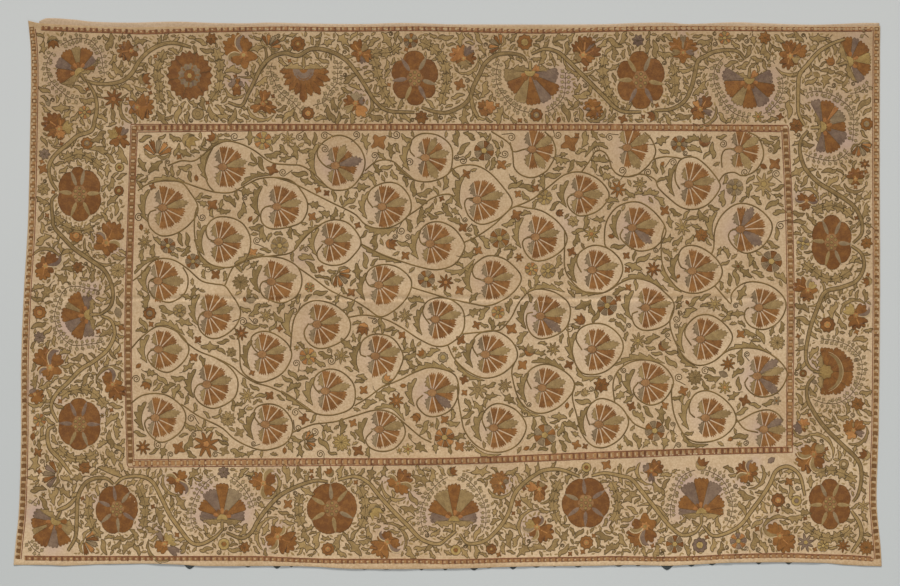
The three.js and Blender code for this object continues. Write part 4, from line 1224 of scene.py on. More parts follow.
# x, y, radius, kind, silks
FIELD_FLOWERS = """
-87 43.5 3.2 leafy ro; -77.5 46 2.5 tulip yv; -70.5 46.7 1.8 tulip rv; -55.5 46 2.7 daisy oy;
-48 46.5 2 star vy; -52.7 37.3 1.6 quad rr; -75.5 34.8 1 bud rr; -91 15.5 2 star vy; -84 14.5 2.3 daisy gr;
-76.5 9.8 2.3 daisy rg; -70.7 26.7 1.5 quad rr; -92 20 1 bud rr; -58.5 12.5 1.2 quad or;
-59.3 22.5 1 bud rr; -50.5 14.5 2.7 daisy vs; -62.2 3.5 2.4 maple vv; -69.7 5.8 1.3 quad rr;
-20.7 45.7 2.1 quad rr; -39 31.2 .9 quad rr; -40.8 23.2 1.2 quad rr; -27.1 20.6 .9 quad rr;
-12.8 11.5 1.2 quad rr; -17 15 1.8 tulip ro; -32 5 2.7 leafy ro; -38.2 7.5 1 quad rr; -41.5 2 1.5 daisy yo;
-6.5 4.5 2.6 daisy rg; -.7 3.5 2.3 star ro; -29 .5 1.2 quad rr; 10.8 43 3 daisy rg; 36.5 45.3 2.3 quad rr;
16 38.8 1.4 quad rr; 5.5 36 1.2 quad rr; 21 30 1 quad rr; 26.2 31.7 1.1 quad rr; 29 29 2.3 daisy yv;
33.5 24.3 1.2 tulip rr; 51 31.5 2.4 star rg; 20.5 23.7 1.5 quad rr; 37.5 21.8 1.7 maple vv;
43 18 2.3 star yo; 49 17.3 1 bud rr; 15.5 16.7 3 daisy rv; 9 13 1.2 quad rr; 4.5 20 1.3 quad rr;
21.3 11 1.3 star rr; 37 12.7 1.2 quad rr; 25 7.5 2 daisy yo; 30 7 2.3 daisy yv; 3.5 1 1.2 quad rr;
69.3 45 2.5 daisy rg; 77 46 2 tulip vr; 64.3 39 .9 bud rr; 86 32 2.6 daisy gs; 94.7 33 3.3 star vy;
70.3 20 2.4 star vy; 76 17.7 2.1 maple rr; 65 25 1.3 quad rr; 61.5 7.5 2.2 star ro; 87 8.3 1.8 star vr;
97 9.8 3.2 daisy rg; 98 39 1.6 quad rr; 94.5 38.3 1.2 bud rr; 57.5 33 2 star vy; 69 5.2 .8 bud rr;
53.5 11.5 1 quad rr; 54 2 1 quad rr; -89.5 -5.8 2 round rg; -80.5 -5 2 daisy vs; -75 -13.7 1 quad rr;
-76.3 -19 1.2 quad rr; -92.8 -21.5 1 bud rr; -90.3 -27 1.7 tulip rv; -91.5 -46 2.1 star ro;
-80.8 -46.2 1.7 quad rr; -72.5 -45 3.7 star ro; -66 -37.5 2.3 maple vv; -60.3 -30.5 2.2 star vy;
-53.5 -30.5 1.2 quad rr; -62 -11.8 2 star ro; -65 -17.5 1.5 maple vv; -61 -1.6 .8 bud rr;
-59 -1.8 1.5 bud gg; -54.5 -6.5 2 star vy; -49 -47 1 bud rr; -62.5 -41.5 1.3 quad vv; -67 -47 1.3 quad vv;
-42 -18.7 2.6 daisy yo; -32 -18.5 2.2 star vy; -13.8 -12.3 1.1 quad rr; -12.8 -6.5 2 star vs;
-25.5 -10.5 2 tulip ro; -7.8 -18 1.5 tulip rv; -1.5 -19 1.6 round gy; -18.5 -25.5 1.5 tulip ov;
-25.3 -28.8 1.2 quad rr; -15.5 -32 2.3 star ro; -13.5 -27.5 1 bud rr; -43.2 -37.5 1.3 quad rr;
-28.5 -38.7 1.1 quad rr; -27 -47 1.5 quad rr; -41.5 -44 2.2 leafy ro; -32 -44.5 2.7 maple yy;
-1 -43 3 daisy ro; -9.5 -37 1.5 tulip rr; -1 -37.7 1.2 quad rr; 3.5 -45.7 1.4 quad rr;
-12 -46.5 1.7 star yo; 15 -5.5 2 daisy yo; 8.5 -9.3 1.1 quad rr; 19 -10.5 1.5 quad rr;
3.8 -13.8 1.3 quad rr; 4.8 -25.7 1.2 quad rr; 9 -28.7 2.8 star ss; 17 -27.5 2 star ss;
24.5 -17 1.8 tulip vr; 31.5 -16.5 2 star vy; 22.3 -21.3 1.4 quad rr; 36.3 -21.2 1.2 quad rr;
47.7 -3.5 3 daisy rg; 39.7 -7.7 1.7 tulip rr; 46 -27.3 2.2 maple rr; 35.7 -33.5 1 bud rr;
29 -42.3 3.3 daisy rg; 38.5 -45.2 1.2 quad rr; 23.5 -46.3 1 bud rr; 41 -29.5 1.3 tulip vv;
57 -14 2.3 star vy; 64.7 -15.5 1.8 tulip vr; 87.8 -12 1.2 quad rr; 98.7 -14.5 2.3 maple vv;
84 -21 2 star rr; 82.5 -24 1.5 bud gg; 83 -28 2 star yo; 74 -25 2.3 maple vv; 70.5 -29 1.3 quad rr;
89 -32 1.4 quad rr; 55 -33.7 1.2 quad rr; 65 -33.5 1 quad rr; 62 -41 3 daisy rg; 80 -3 2.2 star vy;
71.7 -2.5 .8 bud rr; 84.7 -43.5 1 bud rr; 98.5 -32 1.3 star gr;
"""
# Places of the curls in the field
FIELD_SPIRALS = """
-64 47.2 -49.5 36.5 -92.7 23 -73.7 23 -57.3 16 -72 7.6 -44.5 47 -37 47.5 -27.5 47.8 -41 41.4 -37 43.5
-22 41.5 -15.5 47.8 -11.5 39.5 19 47 17 42 4.5 40 48.5 47 44.5 43.5 33 47.7 52.3 37 67.5 39.5 82.5 45
89 36.5 98.5 36 99.7 20.5 -93.5 -25.5 -61.5 -8.3 -77 -37.3 -87 -45.3 -35 -20 -45.5 -20.8 -45.7 -35.5
-45 -40.2 -40 -41.3 -38.3 -48 -46 -5 36.5 -10.3 23.2 -36 68.5 -7.5 69.3 -25 77.2 -23 60 36.5 -14 19"""
blooms = Stitching()
for x, y, radius, kind, codes in table(FIELD_FLOWERS):
    flower(blooms, float(x), float(y), float(radius), kind, codes)
for x, y in path(FIELD_SPIRALS):
    spiral(blooms, x, y, 1.1 + 0.2 * chance.random(), any_turn(), either())
blooms.sew("field_flowers")

# Border stems: broad olive scrolls, laid in silk between two dark cords, that run from one large
# flower to the next all round the border.
STEMS = """
-108.5 64 -106 63.2 -102 63 -98 63.8 -95 66 -92.5 70 -89.5 73 -86 74.8 -82 75.3 -77 74;
-108 63.5 -106 60 -105.3 56 -106 52 -107 49 -111 47.5 -114 45 -118 41.5 -119.7 38 -119 34 -117.2 31;
-117.2 30 -118.8 28 -118.5 23 -118 20 -115 16.5 -112 13.5 -107 10 -103 7 -101 3 -100.5 -1 -101.5 -4 -104.5
-6.3;
-104 -6.5 -101 -8 -100 -12 -102 -16.5 -106 -20 -110 -22.5 -114 -26.5 -117.5 -30 -119 -34 -117 -38.5;
-118 -39.5 -120 -41 -119.5 -46 -116 -50 -113 -54;
-66 57.5 -62 56.5 -60 60 -58 64 -56 68 -53 71 -49 72.3 -45 71.5 -41 73.5 -36 73 -31 70.5 -27.5 66.5 -24.5
62 -22 58 -18 55 -10 54.5;
-8 56 -4 54.7 0 54.5 5 57 7 60 7.5 62 9.5 66 11 69 14 71.5 18 72.2 22 71.5 23.5 70;
6.8 60 7.5 56 9 53;
25 72 29 73.5 33 72.5 36 70 39 67 43 63 47 59 50 56 53 54.7 58 54.6;
62 55 67 55.5 71 58 73 62 74 66 75 70 77.5 71.5 80 72.7 84 73.2 87 72.7 89 70.5;
119 76.5 115 75 111 72.5 108 69 105.5 66 105 62 105 58 105.2 54 107 50.5;
108 49 106 46.5 105.5 43 106.5 39 108 36.5 111 33.5 115 31 119 28.5 122 26 124 22 124 18 121.5 15.3;
121 14.5 124 12 124.7 8 122.5 4 118 2 113 0.5 110.5 -5 109 -9 107.8 -14 107.3 -19 108.5 -22 111 -23.5;
110 -24.5 108 -27 107.7 -31 109.5 -35 113 -40 118 -45 123 -50 124 -55 123 -60 121.5 -62.3;
121 -65 123.5 -69 123.8 -73 121 -77.5;
107 -60.5 105.5 -54.5 102 -51.8 98.5 -53 96.5 -57 94 -61 91 -65 88 -69 84 -71.5 79.5 -72.5 76.5 -69.5;
43 -54.5 47 -53.7 52 -54.6 55 -55.5 58 -59 62 -64 66 -69 70 -72.2 74 -71.5 76 -69;
3.5 -72 6 -74.8 11 -74 15 -70.5 18 -66 20 -60 23 -56.5 26 -54.3 29 -52.8 34 -52.7 39.5 -54.8;
2.5 -71 0 -73 -3 -75 -8 -73.5 -12 -69.5 -17 -64.5 -21 -60 -24 -56.5 -28 -54.7 -33 -55.8;
-66.5 -71.5 -62 -73.2 -59 -71.5 -57 -68 -54 -64 -50.5 -60.5 -46 -58 -40 -56 -36 -56.3;
-67.5 -70.5 -70 -73 -74 -75 -77 -74.5 -80 -71 -83.5 -66 -86 -61 -88.5 -56.5 -92 -54.7 -97 -55 -99.8 -57;
-100.3 -57 -102.5 -55.3 -106 -55.3 -109 -57 -111 -61 -111.3 -67 -111.8 -73 -114 -77;
-117.5 -65 -114 -63.5 -111.5 -61;
"""
STEM_WIDE = 1.15
THORN = path("-0.3 -0.3 0.6 -0.5 1.3 -0.35 2.5 0.25 1.5 0.3 1.2 0.85 0.8 0.35 0.2 0.3")
stems = Stitching()
stem_lines = [smooth(path(row), 0.5) for row in table(STEMS)]
for line in stem_lines:
    t = np.linspace(0, 1, len(line))
    half = STEM_WIDE / 2 * (0.55 + 0.45 * np.sin(math.pi * t) ** 0.5)
    stems.band("olive", line, half, half, full=0.05, lift=0.05)
    way = np.gradient(line, axis=0)
    normal = leftward(unit(way))
    for side in (-1, 1):
        stems.cord("dark", line + normal * (half * side)[:, None], 0.22, lift=0.07)
    for k in range(8, len(line) - 8, 9):
        side = either()
        turn = math.atan2(way[k][1], way[k][0]) + side * (0.55 + 0.4 * chance.random())
        foot = line[k] + normal[k] * side * half[k] * 0.8
        thorn = smooth(THORN * [1, side] * (0.9 + 0.5 * chance.random()), 0.35, closed=True)
        stems.patch("olive", foot + turned(thorn, turn), foot + ray(turn, 1.0), lay=turn,
                    lift=-0.01, edge=0.18)
stems.sew("border_stems")

# Border rosettes: ten large round flowers. Most have six rust petals with a grey or olive spear sunk
# between each pair and a cluster of ochre knots in the middle. One is a many-toothed round with a grey ring.
# x, y, half width, half height, depth of the notches, then a thread and a direction for each spear
ROSETTES = """
-77.5 65.5 6.8 7.3 0;
-10 64.8 7.1 8.1 .12 m128 g57 m186 g-15 s244 m-59;
57.8 64.2 7.4 8.6 .13 s126 g65 s180 s-9 m240 m-58;
115 15.5 6.2 8.1 .08 g118 g60 s176 g-4 s251 g-60;
114.5 -63 6.5 7.5 .09 g118 s63 s183 s-3 s246 g-62;
41.3 -62.6 7.1 7.6 .04 m96 m31 g159 m215 m-36 m269;
-34.8 -64.3 7.4 7.8 .04 g94 s48 s153 s209 g-24 s-81;
-99.3 -64.5 6.3 7.5 .06 m100 g48 m160 g216 m-28 g-85;
-110.5 30 6.7 8.1 .07 g115 g77 s175 s2 s245 s-60;
-110.5 -39 6.5 7.7 .04 m118 m69 m178 m-1 s241 g-66;
"""
SPEAR = path("0.34 0.02 0.44 0.075 0.6 0.085 0.78 0.06 0.98 0 0.78 -0.06 0.6 -0.085 0.44 -0.075 0.34 -0.02")
rosettes = Stitching()
rounds = []
for x, y, wide, high, notch, *spears in table(ROSETTES):
    middle = np.array([float(x), float(y)])
    scale = np.array([float(wide), float(high)])
    rounds.append((middle, scale))
    turns = sorted(math.radians(float(token[1:]) % 360) for token in spears)
    for first, last in zip(turns, turns[1:] + [angle + 2 * math.pi for angle in turns[:1]]):
        petal = wedge(first, last, 0.2, 1.02, 0.0, 8, 0.02, 0.5, float(notch) * 1.5 + 0.03, 3)
        turn = (first + last) / 2
        rosettes.patch("rust", middle + petal * scale, middle + ray(turn, 0.66) * scale, lay=turn,
                       tone=0.4 * chance.random() - 0.05, edge=0.08)
    for token in spears:
        turn = math.radians(float(token[1:]))
        rosettes.patch(CODES[token[0]], middle + turned(SPEAR, turn) * scale, lay=turn, lift=0.03, tone=0.6)
    if spears:
        rosettes.patch("tan", middle + star(0.34, 6, 0.12) * scale, middle, lift=0.03, tone=0.1)
        for k in range(6):
            knot = middle + ray(k * math.pi / 3 + 0.5, 0.21) * scale
            rosettes.patch("ochre", knot + star(0.5, 5, 0.15, chance.random()), knot, lift=0.06,
                           tone=0.2, edge=0.1)
        rosettes.patch("ochre", middle + star(0.5, 5, 0.15), middle, lift=0.06, tone=0.2, edge=0.1)
    else:
        rosettes.patch("rust", middle + star(1.03, 20, 0.11, 0, 0.7) * scale, middle, tone=0.2, edge=0.09)
        for k in range(6):
            turn = k * math.pi / 3 + 0.2
            vein = np.stack([ray(turn, 0.5), ray(turn, 0.9)]) * scale
            rosettes.cord("dark", middle + vein, 0.12, lift=0.05)
        rosettes.patch("grey", middle + star(0.53, 13, 0.12) * scale, middle, lift=0.03, tone=0.2)
        for k in range(11):
            turn = k * 0.57 + 0.1 * chance.random()
            streak = wedge(turn - 0.13, turn + 0.13, 0.2, 0.5, 0.0, 1, 0.05, 1.0, 0.1)
            rosettes.patch("mauve" if k % 2 else "faded", middle + streak * scale, lay=turn, lift=0.04)
        rosettes.patch("rust", middle + star(0.27, 9, 0.1) * scale, middle, lift=0.06, edge=0.08)
        rosettes.patch("ochre", middle + star(0.13, 6, 0.1) * scale, middle, lift=0.08)
rosettes.sew("border_rosettes")

# Border palmettes: twelve large fans of rust, olive grey and mauve lobes that open from an ochre heart,
# with a flat olive calyx behind. No two are alike.
# x, y of the heart, its kind, where the first lobe starts in degrees, then a thread, a spread and a reach
# for each lobe, turning to the left
BIG_PALMETTES = """
-110.65 66.8 dome 5 r17/5.2 m28/6.4 r36/7.5 s24/7.7 r32/7.7 m30/7.6 r43/7.2 s35/6;
-43.3 67.3 crest 176 r17/7.6 r17/7 r17/7.8 r17/8 r17/8.3 r17/10.3 r17/8.6 r17/9.4 r17/8.2 r17/9 r18/8;
24.6 66.2 dome 168 s32/8.2 r36/8 s26/9.5 r29/9.9 m22/10.2 r25/10.2 m34/8.7 o48/3.6;
90.3 64 dome 150 m30/8.4 r45/7.9 s30/8.4 r33/8.6 m30/9 r34/8.3 m38/7.4 o40/3.8;
120.6 69.9 dome -75 m27/7.3 r38/6.8 y36/6.5 r40/7.1 m18/7.3 r34/7.5;
112.5 50.2 dome -108 m24/7.9 r36/8.5 m34/8 r28/7.1 g34/7.4 o14/7.4 r34/8.2 m22/8.7;
113.2 -23.3 arc -104 r35/7.3 r35/8 r34/8.8 r34/8.9 r35/8.4 r35/7.6;
76 -65.2 dome -12 r22/6.9 r36/7.6 m30/9.9 r28/10.4 m30/9.7 r38/7.6 m18/7;
1.8 -67.5 dome -10 m27/7.2 r30/8.4 s31/9.8 r24/10.8 s31/9.6 r30/8.5 m27/7.5;
-67.7 -67 dome -10 m27/7 r30/8.1 g31/9.5 r24/10.6 m31/9.3 r30/8 m27/7;
-117.8 -68.3 dome 142 m28/7.1 r27/7.5 s15/7.7 r40/8.6 m26/8 r34/7.8 s33/6.1 r30/4;
-108.1 -6.2 dome 75 m33/6 r38/7.8 s17/7.5 r35/8.1 m30/7.7 r30/8.1 m32/6.9;
"""
# Behind each heart: the middle line of one of its two sepals, then the stalk with its half widths and an
# edge
SEPAL = path("-1.3 0.1 -1.6 2.2 -1.5 4.2 -0.8 6.6")
STALK = path("-1 0 -2.4 0 -3.8 0")
STALK_HALF = np.array([0.6, 0.5, 0.35])
STALK_EDGE = path("-1.2 0.5 -2.5 0.45 -3.8 0.3")
crests = Stitching()
fan_rims = []
for x, y, kind, start, *lobes in table(BIG_PALMETTES):
    heart = np.array([float(x), float(y)])
    first = math.radians(float(start))
    rim = []
    for lobe in lobes:
        opening, reach = (float(v) for v in lobe[1:].split("/"))
        last = first + math.radians(opening)
        turn = (first + last) / 2
        if kind == "crest":
            outline = wedge(first, last, 0.8, reach, 0.0, 4, 0.5, 1.2, 0.16)
        else:
            teeth = max(2, int(round((last - first) * reach / 1.15)))
            outline = wedge(first, last, 0.5, reach, 0.0, teeth, 0.6, 0.8, 0.05, 3)
        tone = 0.15 + 0.5 * chance.random()
        crests.patch(CODES[lobe[0]], heart + outline, heart + ray(turn, 0.6 * reach), lay=turn,
                     tone=tone, edge=0.07)
        if reach > 5:
            rim.append((turn, reach))
        if lobe[0] == "m":
            run_in(heart + ray(turn, 0.95 * reach), 2.3, 0.75)
        first = last
    facing = (rim[0][0] + rim[-1][0]) / 2
    fan_rims.append((heart, np.array(rim)))
    if kind == "crest":
        for thread, size, high in (("faded", 4.6, 0.04), ("mauve", 3.6, 0.05), ("rust", 1.3, 0.07)):
            disc = wedge(-1.62, 1.62, 0.5, size, 0.0, 9, 0.08 * size, 0.7)
            crests.patch(thread, heart + turned(disc, facing), heart + ray(facing, 0.4 * size), lift=high)
    elif kind == "arc":
        angle = np.linspace(-1.3, 1.3, 24)
        body = 0.75 * np.sin(np.linspace(0.1, math.pi - 0.1, 24))
        arc = np.stack([5.4 * np.cos(angle) - 0.6, 5.6 * np.sin(angle)], -1)
        crests.band("moss", heart + turned(arc, facing), body, body, lift=0.04, tone=0.0)
        crests.cord("cream", heart + turned(arc * 1.1, facing), 0.14, lift=0.06)
        crests.patch("ochre", heart + turned(star(2.3, 7, 0.22), facing), lift=0.05, tone=0.0, edge=0.08)
    else:
        for k in range(5):
            turn = facing + (k - 2) * 0.62 + 0.1 * chance.normal()
            petal = wedge(turn - 0.27, turn + 0.27, 0.9, 3.1, 0.0, 2, 0.4, 0.8, 0.2)
            thread = ("orange", "faded")[k % 2]
            crests.patch(thread, heart + petal, heart + ray(turn, 1.9), lay=turn, lift=0.04,
                         tone=0.4 * chance.random())
        disc = wedge(-1.7, 1.7, 0.2, 1.75, 0.0, 6, 0.2, 0.7) - [0.6, 0]
        crests.patch("ochre", heart + turned(disc, facing), heart + ray(facing, 0.4), lift=0.06,
                     tone=0.5, edge=0.06)
    for side in (-1, 1):
        near = 1.1 if kind == "crest" else 0.7
        sepal = heart + turned(SEPAL * [1, side] + [near, 0], facing)
        saw_leaf(crests, sepal, 1.8, 4, side, back=0.2, deep=0.5)
        crests.cord("dark", heart + turned(STALK_EDGE * [1, side], facing), 0.18, lift=0.07)
    crests.band("olive", heart + turned(STALK, facing), STALK_HALF, STALK_HALF, lift=0.04)
crests.sew("border_palmettes")

# Half palmettes: ragged rust flowers seen from the side on short branches. Many have petals that curl
# over, with a grey or mauve lining between the silk and a cream arc. An olive leaf hugs each from behind
# where there is room.
# x, y of the heart, then for each lobe a thread, direction, half spread and reach; a capital letter is a
# curled petal, with a direction and a reach
HALF_PALMETTES = """
-95 72.9 f180/78/4.3 g30/30/2.4; -93.2 56 r0/62/5.2 m178/70/1.8;
-98.5 47 y150/35/4 r95/28/3.6 m55/22/3.6 r230/30/3.6 r-50/24/3.8;
-116.6 49.5 r135/45/5.8 r75/22/4.2 y10/35/4.6 o-80/50/3.2 r-150/30/4;
-61.3 71.7 r133/40/7.2 M80/5.6 G214/4.6; -63.3 62.5 r80/22/2.6 r-90/30/3.4 m150/40/2.6 m20/30/2.2;
-55.5 57 r80/26/4.8 r-150/24/4.2 r-35/24/4.6 v150/30/3 y30/30/1.8;
-27.7 57.2 r165/35/3.8 s215/22/4.2 o-55/30/5 g85/35/3.6 m20/30/3;
-26.4 72.2 r115/32/4.6 r-15/34/4.6 s50/20/4 m-70/18/3.4;
4.7 70.7 o140/50/4.6 m60/28/4.2 r0/35/3.8 s-75/55/3.6; 11.2 55.7 o20/60/3.2 f140/40/2.8 f-100/60/2.8;
40.5 71.7 r75/30/6.2 r20/24/5.6 r120/22/5 r-30/24/3.8 m50/10/5 v200/45/3;
43.5 55.6 r110/80/3.4 r-60/80/3.6 m170/30/2.6 m-60/22/3.4;
70.5 72.4 r125/40/5.2 r55/40/5.2 g90/12/5.6 s175/24/3.6 m5/24/3.4;
75.6 55.4 o120/24/3.4 r50/30/5 m85/14/4 m-20/16/4 r-110/45/3.6;
102.6 71.4 r95/30/5.2 r25/28/5.8 r-110/40/4.2 v-30/30/3.6 m0/14/2.6;
122.2 34.4 r90/85/3.6 y90/60/1.9 v200/25/2.6 v-20/25/2.6; 107.5 27.9 f-110/45/3 M150/3.4 M20/3.4;
108 1.1 r145/35/5 O55/3.4 f-100/45/3.6; 122.3 -6.4 r-75/48/4.6 y140/30/4.4 M45/4.6;
121.6 -40.9 r140/45/3.8 r45/32/4.2 s95/10/3 o-120/50/3 m-25/20/3.4;
106.4 -39.9 o80/55/2.8 m190/55/2.8 y0/30/1.8; 109.7 -48.1 r225/45/6.2 G155/4.6 G-60/5 v45/30/4.4;
90.2 -53.9 r145/35/4.6 M60/4 G-135/3.8; 99.5 -72.5 r-50/45/5.8 G135/5.2;
61 -53 r35/45/4.2 m150/40/3 o-60/40/2.4 m-90/20/3.6; 59.1 -69.7 r235/35/7 G170/4.4 M-65/5.6;
27.4 -58.5 o165/28/4.2 s60/40/2.6 f-90/30/4.4; 26.7 -70 r-35/42/5.6 O160/4.2 M85/3.6 G-130/3.8;
15.7 -56.8 f95/60/4 f170/40/3.4 f-110/45/3.6 g30/30/3 g-60/16/2; -15 -56.8 r48/38/5 G165/3.6 G-45/4.4;
-18.2 -74.3 r225/42/5.8 M105/3.6 M-15/4.4; -55.4 -56.8 r150/45/4.4 G35/4.8 G-55/4.8;
-51.1 -72.8 r-30/42/6.4 G80/3.6 G-140/4.2; -81 -55.8 r50/35/3.6 G180/3.6 M-75/4.6;
-85 -75 y40/45/4 r-165/40/3.4 m-35/18/5.2 m120/14/4.6; -102.5 15.4 r60/38/7 M150/3.8 G-35/4.2;
-120.7 8.4 r-110/42/4.8 M50/5.2; -119.4 -22.1 r120/36/6.6 M50/5.6 M-130/3.6;
-100.6 -27.1 r-60/42/5.2 M120/4.8; -123.9 -30.1 m120/45/2.2 r-45/70/3.2;
"""
# A curled petal's fold and its lip, for a reach of 1, then its silk and its lining by letter
CURL_FOLD = path("0.12 0.05 0.42 0.36 0.78 0.4 1.0 0.22")
CURL_LIP = path("0.05 0.1 0.38 0.5 0.8 0.56 1.1 0.34")
CURLS = {"M": ("rust", "mauve"), "G": ("rust", "moss"), "O": ("ochre", "grey")}
halves = Stitching()
for x, y, *lobes in table(HALF_PALMETTES):
    heart = np.array([float(x), float(y)])
    front = math.radians(float(lobes[0][1:].split("/")[0]))
    widest = max(float(lobe.split("/")[-1]) for lobe in lobes)
    halves.patch("rust", heart + star(0.6 * widest, 5, 0.4, front), lift=-0.01, edge=0.08)
    for lobe in lobes:
        turn, *half, reach = (float(v) for v in lobe[1:].split("/"))
        turn = math.radians(turn)
        core = heart + ray(turn, 0.58 * reach)
        if half:
            half = min(math.radians(half[0]) * 1.25, 1.5)
            teeth = max(2, int(round(2 * half * reach / 1.9)))
            outline = wedge(turn - half, turn + half, 0.3, reach * 1.06, 0.0, teeth,
                            min(1.3, 0.28 * reach), 0.9, 0.2, 2)
            halves.patch(CODES[lobe[0]], heart + outline, core, lay=turn, edge=0.1)
            if lobe[0] in "mg":
                run_in(heart + ray(turn, reach), 1.5, 0.7)
            if lobe[0] in "rf" and reach > 4:
                streak = np.stack([ray(turn, 0.25 * reach), ray(turn + 0.1, 0.62 * reach)])
                halves.cord("orange", heart + streak, 0.4, lift=0.04)
            continue
        silk_name, lining = CURLS[lobe[0]]
        run_in(heart + ray(turn, 0.9 * reach), 1.5, 0.7)
        side = 1 if math.sin(front - turn) > 0 else -1
        outline = wedge(turn - 0.66, turn + 0.66, 0.3, reach, 0.0, 3, 0.22 * reach, 0.9, 0.2, 2)
        halves.patch(silk_name, heart + outline, core, lay=turn, lift=0.02, edge=0.09)
        fold = smooth(heart + turned(CURL_FOLD * [1, side] * reach, turn), 0.4)
        body = 0.13 * reach * np.sin(np.linspace(0.15, math.pi - 0.15, len(fold)))
        halves.band(lining, fold, body, body, lift=0.05)
        lip = smooth(heart + turned(CURL_LIP * [1, side] * reach, turn), 0.5)
        halves.cord("cream", lip, 0.3, lift=0.06)
    halves.patch("orange", heart + star(0.2 * widest, 6, 0.35, chance.random()), lift=0.06)
    halves.patch("ochre", heart + star(0.1 * widest, 5, 0.2), lift=0.08)
    around = front + math.pi + np.linspace(-1.25, 1.0, 6) * either()
    hug = heart + polar(around, widest * 0.86 + 0.5)
    if np.mean(worked[cells(smooth(hug, 0.5))]) < 0.4:
        saw_leaf(halves, hug, 1.1, 4, 1 if around[1] < around[0] else -1, back=0.25)
halves.sew("border_half_palmettes")

# Oak garlands: lobed olive leaves, joined neck to neck, that curve round each rosette from both sides
# and keep clear of its petals.
GARLANDS = """
-85 72.5 -86 70.5 -87.3 67 -86.5 62 -86.5 59 -84.5 56.8;
-69.5 73 -68.5 70 -68.5 67 -68.5 63.5 -69 61 -72 59.5 -71 57;
-14.5 73.5 -17.5 72.5 -22.3 72 -21.7 69 -21 66 -20 63.5 -19.5 61 -17.5 58.5 -15.5 56.5;
-8 74.5 -5 72 -2.5 70 -1 67 -1 63 -1.5 60 -2 57;
47 71 46.5 68.5 46.5 66 47 63.5 48.5 60.5 51 57.5;
67.5 68.5 68 66 68 63.3 68 61 67 58.8;
-115 40.5 -111 42 -108 41 -106 39.5 -104 38;
-116 24.5 -114 22 -110 20.5 -106 21;
-115.5 -31 -113 -29.5 -109 -29.5 -106 -31 -104.3 -34;
-116 -45.5 -113.5 -49 -110 -49 -106.5 -47.5;
110 25 113 25.5 116 25.3 119 24 121.5 22;
107 9 110.5 7.5 113 6 116 6 119.5 7.5 121.5 9;
111 -54.5 114.5 -54 118 -54 121.5 -55.5;
107 -69.5 110 -71.5 113 -72.5 116 -72.5 119 -71.5 121 -70;
33.5 -56.5 32.5 -59.5 32 -62.5 32.8 -66 34.8 -68.8;
48.5 -57 50.5 -60 50.5 -63 50.5 -66 48.5 -69;
-44 -60.5 -43 -63.5 -43.5 -66.5 -42.5 -69.5;
-27.5 -59 -25.8 -62 -25.5 -65 -26 -68 -27.5 -71;
-107.5 -61 -106.5 -65 -106 -69 -104.5 -72;
-92.5 -58 -91 -62 -91 -66 -91.5 -70;
"""
# Garlands stay this many radii from a rosette's middle
CLEAR = 1.36
garlands = Stitching()
for row in table(GARLANDS):
    places = path(row)
    for middle, scale in rounds:
        away = (places - middle) / scale
        far = np.hypot(*away.T)[:, None]
        places = np.where(far < CLEAR, middle + away / far * CLEAR * scale, places)
    line = smooth(places, 0.4)
    garlands.band("olive", line, 0.32, 0.32, lift=-0.01)
    way = np.gradient(line, axis=0)
    for k in range(3, len(line) - 2, 8):
        turn = math.atan2(way[k][1], way[k][0])
        leaf = star(2.0 + 0.3 * chance.random(), int(chance.integers(6, 9)), 0.42, chance.random() * 6, 0.8)
        leaf = leaf * [1.05, 0.88] * (0.88 + 0.24 * chance.random((len(leaf), 1)))
        garlands.patch("olive", line[k] + turned(leaf, turn), line[k],
                       tone=0.4 + 0.4 * chance.random(), edge=0.19)
    garlands.cord("dark", line, 0.1, lift=0.07)
garlands.sew("border_garlands")

